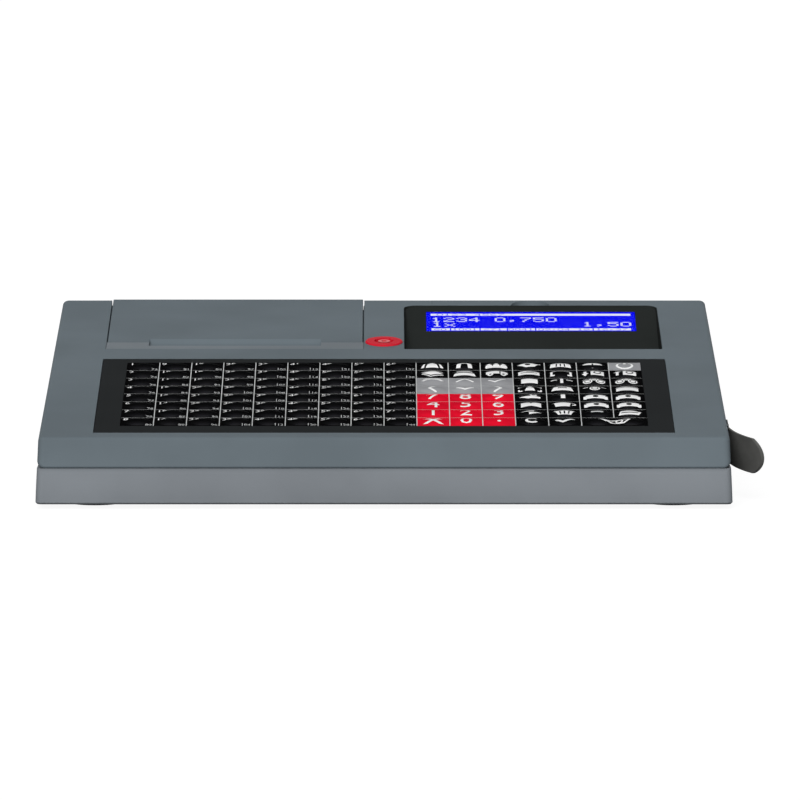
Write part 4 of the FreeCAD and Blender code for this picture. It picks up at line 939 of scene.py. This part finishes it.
icon_wider, icon_taller, icon_reach = 1.05, 1.3, 9.6
pad_h, pad_step, pad_stretch, pad_low = 8.4, 6.4, 1.25, 4.4


def add_icon(ink, draw, x, y):
    icon = bmesh.new()
    draw(icon)
    icon.transform(Matrix.Diagonal((icon_wider, icon_taller, 1, 1)))
    cut_fine(icon, icon_reach)
    raise_ink(icon)
    bmesh.ops.translate(icon, verts=icon.verts[:], vec=(x, y, 0))
    mesh = bpy.data.meshes.new("icon")
    icon.to_mesh(mesh)
    icon.free()
    ink.from_mesh(mesh)
    bpy.data.meshes.remove(mesh)


def pad_number(icon, mark):
    """A large number for the red pad."""
    number(icon, mark, -pad_step / 2, -pad_low, pad_h, pad_step, 0, pad_stretch)


def print_pictograms():
    ink = bmesh.new()
    for (column, row), draw in pictograms.items():
        x, y = field_middle(column, row)
        add_icon(ink, draw, x, y)
    x, y = field_middle(15, 8)
    add_icon(ink, pay, x + pitch / 2, y)
    pad = ("789", "456", "123", "x0")
    for line, marks in enumerate(pad):
        for place, mark in enumerate(marks):
            x, y = field_middle(10 + place, 5 + line)
            add_icon(ink, lambda icon, mark=mark: pad_number(icon, mark), x, y)
    x, y = field_middle(12, 8)
    add_icon(ink, lambda icon: disc(icon, 0, -1.6, 1.0), x, y)
    lay_on_film(ink)
    return ink


inks = [ink_white, film_black, ink_line, ink_soft]
key_numbers = settle(print_numbers(), "key_numbers", inks, to_deck, "case")
key_pictograms = settle(print_pictograms(), "key_pictograms", inks, to_deck, "case")
for piece in (key_numbers, key_pictograms):
    print(piece.name, len(piece.data.polygons), "faces")

# %% [markdown]
# Thin pale lines part the fields. They stop at the edge of the print, and none crosses the
# double field at the lower right. Those between the rows are thinner than those between
# the columns.

# %% Field lines
line_w = 0.5
thin_line_w = 0.3


def print_lines():
    ink = bmesh.new()
    front, back = field_front, field_front + pitch * rows
    for column in range(1, columns):
        x = field_left + pitch * column
        start = front + pitch if column == columns - 1 else front
        bar(ink, x, start, x, back, line_w, 2)
    for row in range(1, rows):
        y = field_front + pitch * row
        bar(ink, field_left, y, -field_left, y, thin_line_w, 2)
    raise_ink(ink)
    bmesh.ops.translate(ink, verts=ink.verts[:], vec=(0, 0, film_n))
    return ink


field_lines = settle(print_lines(), "field_lines", inks, to_deck, "case")
print("lines", len(field_lines.data.polygons))

# %% [markdown]
# ## The graphic screen
# The screen draws with square dots. A small table says which dots of a 5 by 7 grid a digit
# lights, and every run of dots becomes one thin tile on the glass, a little lower than its
# row, which leaves the dark gaps that such a screen has. A white bar lies along
# the top, two lines of large digits in the middle and six white fields along the bottom.

# %% Dot digits
dot_rows = {
    "0": ("01110", "10001", "10001", "10001", "10001", "10001", "01110"),
    "1": ("00100", "01100", "00100", "00100", "00100", "00100", "01110"),
    "2": ("01110", "10001", "00001", "00110", "01000", "10000", "11111"),
    "5": ("11111", "10000", "11110", "00001", "00001", "10001", "01110"),
    "7": ("11111", "00001", "00010", "00100", "00100", "01000", "01000"),
    "3": ("01110", "10001", "00001", "00110", "00001", "10001", "01110"),
    "4": ("00010", "00110", "01010", "10010", "11111", "00010", "00010"),
    "6": ("00110", "01000", "10000", "11110", "10001", "10001", "01110"),
    "8": ("01110", "10001", "10001", "01110", "10001", "10001", "01110"),
    "9": ("01110", "10001", "10001", "01111", "00001", "00010", "01100"),
    ",": ("00000", "00000", "00000", "00000", "01100", "00100", "01000"),
    "x": ("00000", "00000", "10001", "01010", "00100", "01010", "10001"),
    ":": ("00000", "00100", "00100", "00000", "00100", "00100", "00000"),
    " ": ("00000",) * 7,
}


dot_share = 0.78
mark_dots, mark_step = 5, 6


def dots(face, text, x, y, dot_w, dot_h, index=0):
    """Draws text with its upper left corner at x, y; one tile for each run of dots."""
    for place, mark in enumerate(text):
        for line, pattern in enumerate(dot_rows[mark]):
            at = 0
            while at < mark_dots:
                if pattern[at] == "0":
                    at += 1
                    continue
                end = at
                while end < mark_dots and pattern[end] == "1":
                    end += 1
                left = x + (place * mark_step + at) * dot_w
                level = y - (line + 0.5) * dot_h
                bar(face, left, level, left + (end - at) * dot_w, level, dot_h * dot_share, index)
                at = end


print("dot digits", len(dot_rows))

# %% Screen picture
panel_back, panel_n = 325.4, -1.0
to_panel = (to_deck @ Matrix.Translation((0, panel_back, panel_n))
            @ Matrix.Rotation(panel_slope - deck_slope, 4, "X"))
glass_n = -0.6
view_left, view_right = 25.7, 153.3
view_back, view_front = -8.0, -48.5
view_margin = 2.8
large_w, large_h = 1.3, 1.27
small_w, small_h, title_w = 0.66, 0.52, 0.78
top_bar_h, field_h, field_gap = 3.9, 4.1, 0.4


def screen_picture():
    face = bmesh.new()
    left, right = view_left + view_margin, view_right - view_margin
    bar(face, left, view_back - 5.6, right, view_back - 5.6, top_bar_h)
    dots(face, "0123 4567", left + 3.6, view_back - 3.8, title_w, small_h, 1)
    dots(face, "1234 0,750", left, view_back - 11.3, large_w, large_h)
    dots(face, "1x", left + 0.6, view_back - 20.8, large_w, large_h)
    price = "1,50"
    price_left = right - len(price) * mark_step * large_w + large_w
    dots(face, price, price_left, view_back - 20.3, large_w, large_h)
    shares = (0, 0.098, 0.245, 0.381, 0.522, 0.808, 1.0)
    texts = ("80", "1001", "271", "0041", "09:04 18", "12,37")
    for low, high, text in zip(shares, shares[1:], texts):
        x0 = left + (right - left) * low + field_gap
        x1 = left + (right - left) * high - field_gap
        bar(face, x0, view_front + 5.4, x1, view_front + 5.4, field_h)
        start = (x0 + x1) / 2 - len(text) * mark_step * small_w / 2
        dots(face, text, start, view_front + 7.2, small_w, small_h, 1)
    raise_ink(face)
    bmesh.ops.translate(face, verts=face.verts[:], vec=(0, 0, glass_n))
    return face


screen_print = settle(screen_picture(), "screen_picture", [screen_white, screen_blue],
                      to_panel, "case")
print("screen picture", len(screen_print.data.polygons), "tiles")

# %% [markdown]
# ## Digits on the customer's side
# The small display that rises behind the lid of the screen shows the sum to the customer,
# with lit bars behind a dark window. Each digit is a choice of seven short bars. They are
# drawn flat and turned upright, to be read from behind the register.

# %% Bar digits
bar_places = {"a": (-3, 7, 3, 7), "b": (3, 7, 3, 0), "c": (3, 0, 3, -7), "d": (-3, -7, 3, -7),
              "e": (-3, -7, -3, 0), "f": (-3, 0, -3, 7), "g": (-3, 0, 3, 0)}
lit_bars = {"0": "abcdef", "1": "bc", "5": "acdfg"}
digit_step = 11.5
bar_gap, bar_w, point_r = 0.7, 1.3, 0.9
sum_right = 44.0
window_middle = Vector((79.74, 171.1, 70.05)) * mm
to_rear = (Matrix.Translation(window_middle) @ Matrix.Rotation(math.pi, 4, "Z")
           @ Matrix.Rotation(math.pi / 2, 4, "X") @ Matrix.Scale(mm, 4))


def customer_sum(text, right):
    """Lit bars for a sum whose last digit stands at right."""
    face = bmesh.new()
    for place, mark in enumerate(reversed(text)):
        middle = right - digit_step * place
        for letter in lit_bars[mark]:
            x0, y0, x1, y1 = bar_places[letter]
            length = math.hypot(x1 - x0, y1 - y0)
            dx, dy = (x1 - x0) / length * bar_gap, (y1 - y0) / length * bar_gap
            bar(face, middle + x0 + dx, y0 + dy, middle + x1 - dx, y1 - dy, bar_w)
    disc(face, right - digit_step * 1.5, -7, point_r)
    return face


sum_digits = settle(customer_sum("150", sum_right), "sum_digits", [digit_glow],
                    to_rear, "customer_display")
print("bars", len(sum_digits.data.polygons))

# %% [markdown]
# ## Contact wires in the rear sockets
# Each modular socket holds eight springy gold wires that bend down from the roof of its
# mouth. One wire is a bent line, pushed sideways to a strip and given a thickness, and the
# rest are copies.

# %% Contact wires
mouth_middles = (124.24, 102.24, 82.24, 56.24)
wire_path = ((164.2, 19.9), (171.6, 19.7), (166.4, 17.6))
wire_w, wire_t, wire_step, wire_count = 0.45, 0.22, 1.02, 8


def contact_wires():
    wires = bmesh.new()
    line = [wires.verts.new((-wire_w / 2, y, z)) for y, z in wire_path]
    edges = [wires.edges.new(pair) for pair in zip(line, line[1:])]
    made = bmesh.ops.extrude_edge_only(wires, edges=edges)["geom"]
    side = [item for item in made if isinstance(item, bmesh.types.BMVert)]
    bmesh.ops.translate(wires, verts=side, vec=(wire_w, 0, 0))
    bmesh.ops.solidify(wires, geom=wires.faces[:], thickness=wire_t)
    single = wires.verts[:] + wires.edges[:] + wires.faces[:]
    first = mouth_middles[0] - wire_step * (wire_count - 1) / 2
    bmesh.ops.translate(wires, verts=wires.verts[:], vec=(first, 0, 0))
    offsets = [middle - mouth_middles[0] + wire_step * k
               for middle in mouth_middles for k in range(wire_count)]
    for offset in offsets[1:]:
        copy = bmesh.ops.duplicate(wires, geom=single)["geom"]
        moved = [item for item in copy if isinstance(item, bmesh.types.BMVert)]
        bmesh.ops.translate(wires, verts=moved, vec=(offset, 0, 0))
    return wires


jack_wires = settle(contact_wires(), "jack_wires", [gold_wire], Matrix.Scale(mm, 4), "case")
print("wires", len(jack_wires.data.polygons), "faces")

# %% [markdown]
# ## Floor, backdrop and light
# The floor is pale and keeps the register's soft shadow, and light of its own for camera
# rays makes it read as white. The room is white for the camera and in mirrors, and dimmer
# where it lights the piece. One wide soft sun in front does the rest, and a weak low one
# keeps the rear from going black.

# %% Stage
floor_size, floor_glow = 30.0, 0.92
room_dim = 0.25


def make_floor():
    plane = bmesh.new()
    bmesh.ops.create_grid(plane, x_segments=1, y_segments=1, size=floor_size)
    mesh = bpy.data.meshes.new("floor")
    plane.to_mesh(mesh)
    plane.free()
    floor = bpy.data.objects.new("floor", mesh)
    bpy.context.collection.objects.link(floor)
    material = bpy.data.materials.new("floor_white")
    material.use_nodes = True
    nodes, links, shader = parts_of(material)
    shader.inputs["Base Color"].default_value = linear(110, 110, 110)
    shader.inputs["Roughness"].default_value = 0.9
    shader.inputs["Specular IOR Level"].default_value = 0.0
    path = nodes.new("ShaderNodeLightPath")
    shader.inputs["Emission Color"].default_value = (1, 1, 1, 1)
    dimmer = nodes.new("ShaderNodeMath")
    dimmer.operation = "MULTIPLY"
    dimmer.inputs[1].default_value = floor_glow
    links.new(path.outputs["Is Camera Ray"], dimmer.inputs[0])
    links.new(dimmer.outputs["Value"], shader.inputs["Emission Strength"])
    mesh.materials.append(material)


def make_room(dim):
    world = bpy.data.worlds.new("room")
    bpy.context.scene.world = world
    world.use_nodes = True
    nodes, links = world.node_tree.nodes, world.node_tree.links
    background = nodes["Background"]
    background.inputs["Color"].default_value = (1, 1, 1, 1)
    path = nodes.new("ShaderNodeLightPath")
    seen = nodes.new("ShaderNodeMath")
    seen.operation = "MAXIMUM"
    links.new(path.outputs["Is Camera Ray"], seen.inputs[0])
    links.new(path.outputs["Is Transmission Ray"], seen.inputs[1])
    mirrored = nodes.new("ShaderNodeMath")
    mirrored.operation = "MAXIMUM"
    links.new(seen.outputs["Value"], mirrored.inputs[0])
    links.new(path.outputs["Is Glossy Ray"], mirrored.inputs[1])
    reach = nodes.new("ShaderNodeMapRange")
    reach.inputs["To Min"].default_value = dim
    reach.inputs["To Max"].default_value = 1.0
    links.new(mirrored.outputs["Value"], reach.inputs["Value"])
    links.new(reach.outputs["Result"], background.inputs["Strength"])


def soft_sun(name, towards, spread, strength):
    light = bpy.data.lights.new(name, "SUN")
    light.angle = math.radians(spread)
    light.energy = strength
    lamp = bpy.data.objects.new(name, light)
    lamp.location = towards
    lamp.rotation_euler = Vector(towards).to_track_quat("Z", "Y").to_euler()
    bpy.context.collection.objects.link(lamp)
    return lamp


make_floor()
make_room(room_dim)
soft_sun("front_lamp", (-0.3, -1.6, 0.95), 36.0, 2.7)
rear_lamp = soft_sun("rear_lamp", (0.5, 1.9, 0.3), 20.0, 0.9)
rear_lamp.visible_glossy = False
print("stage ready")
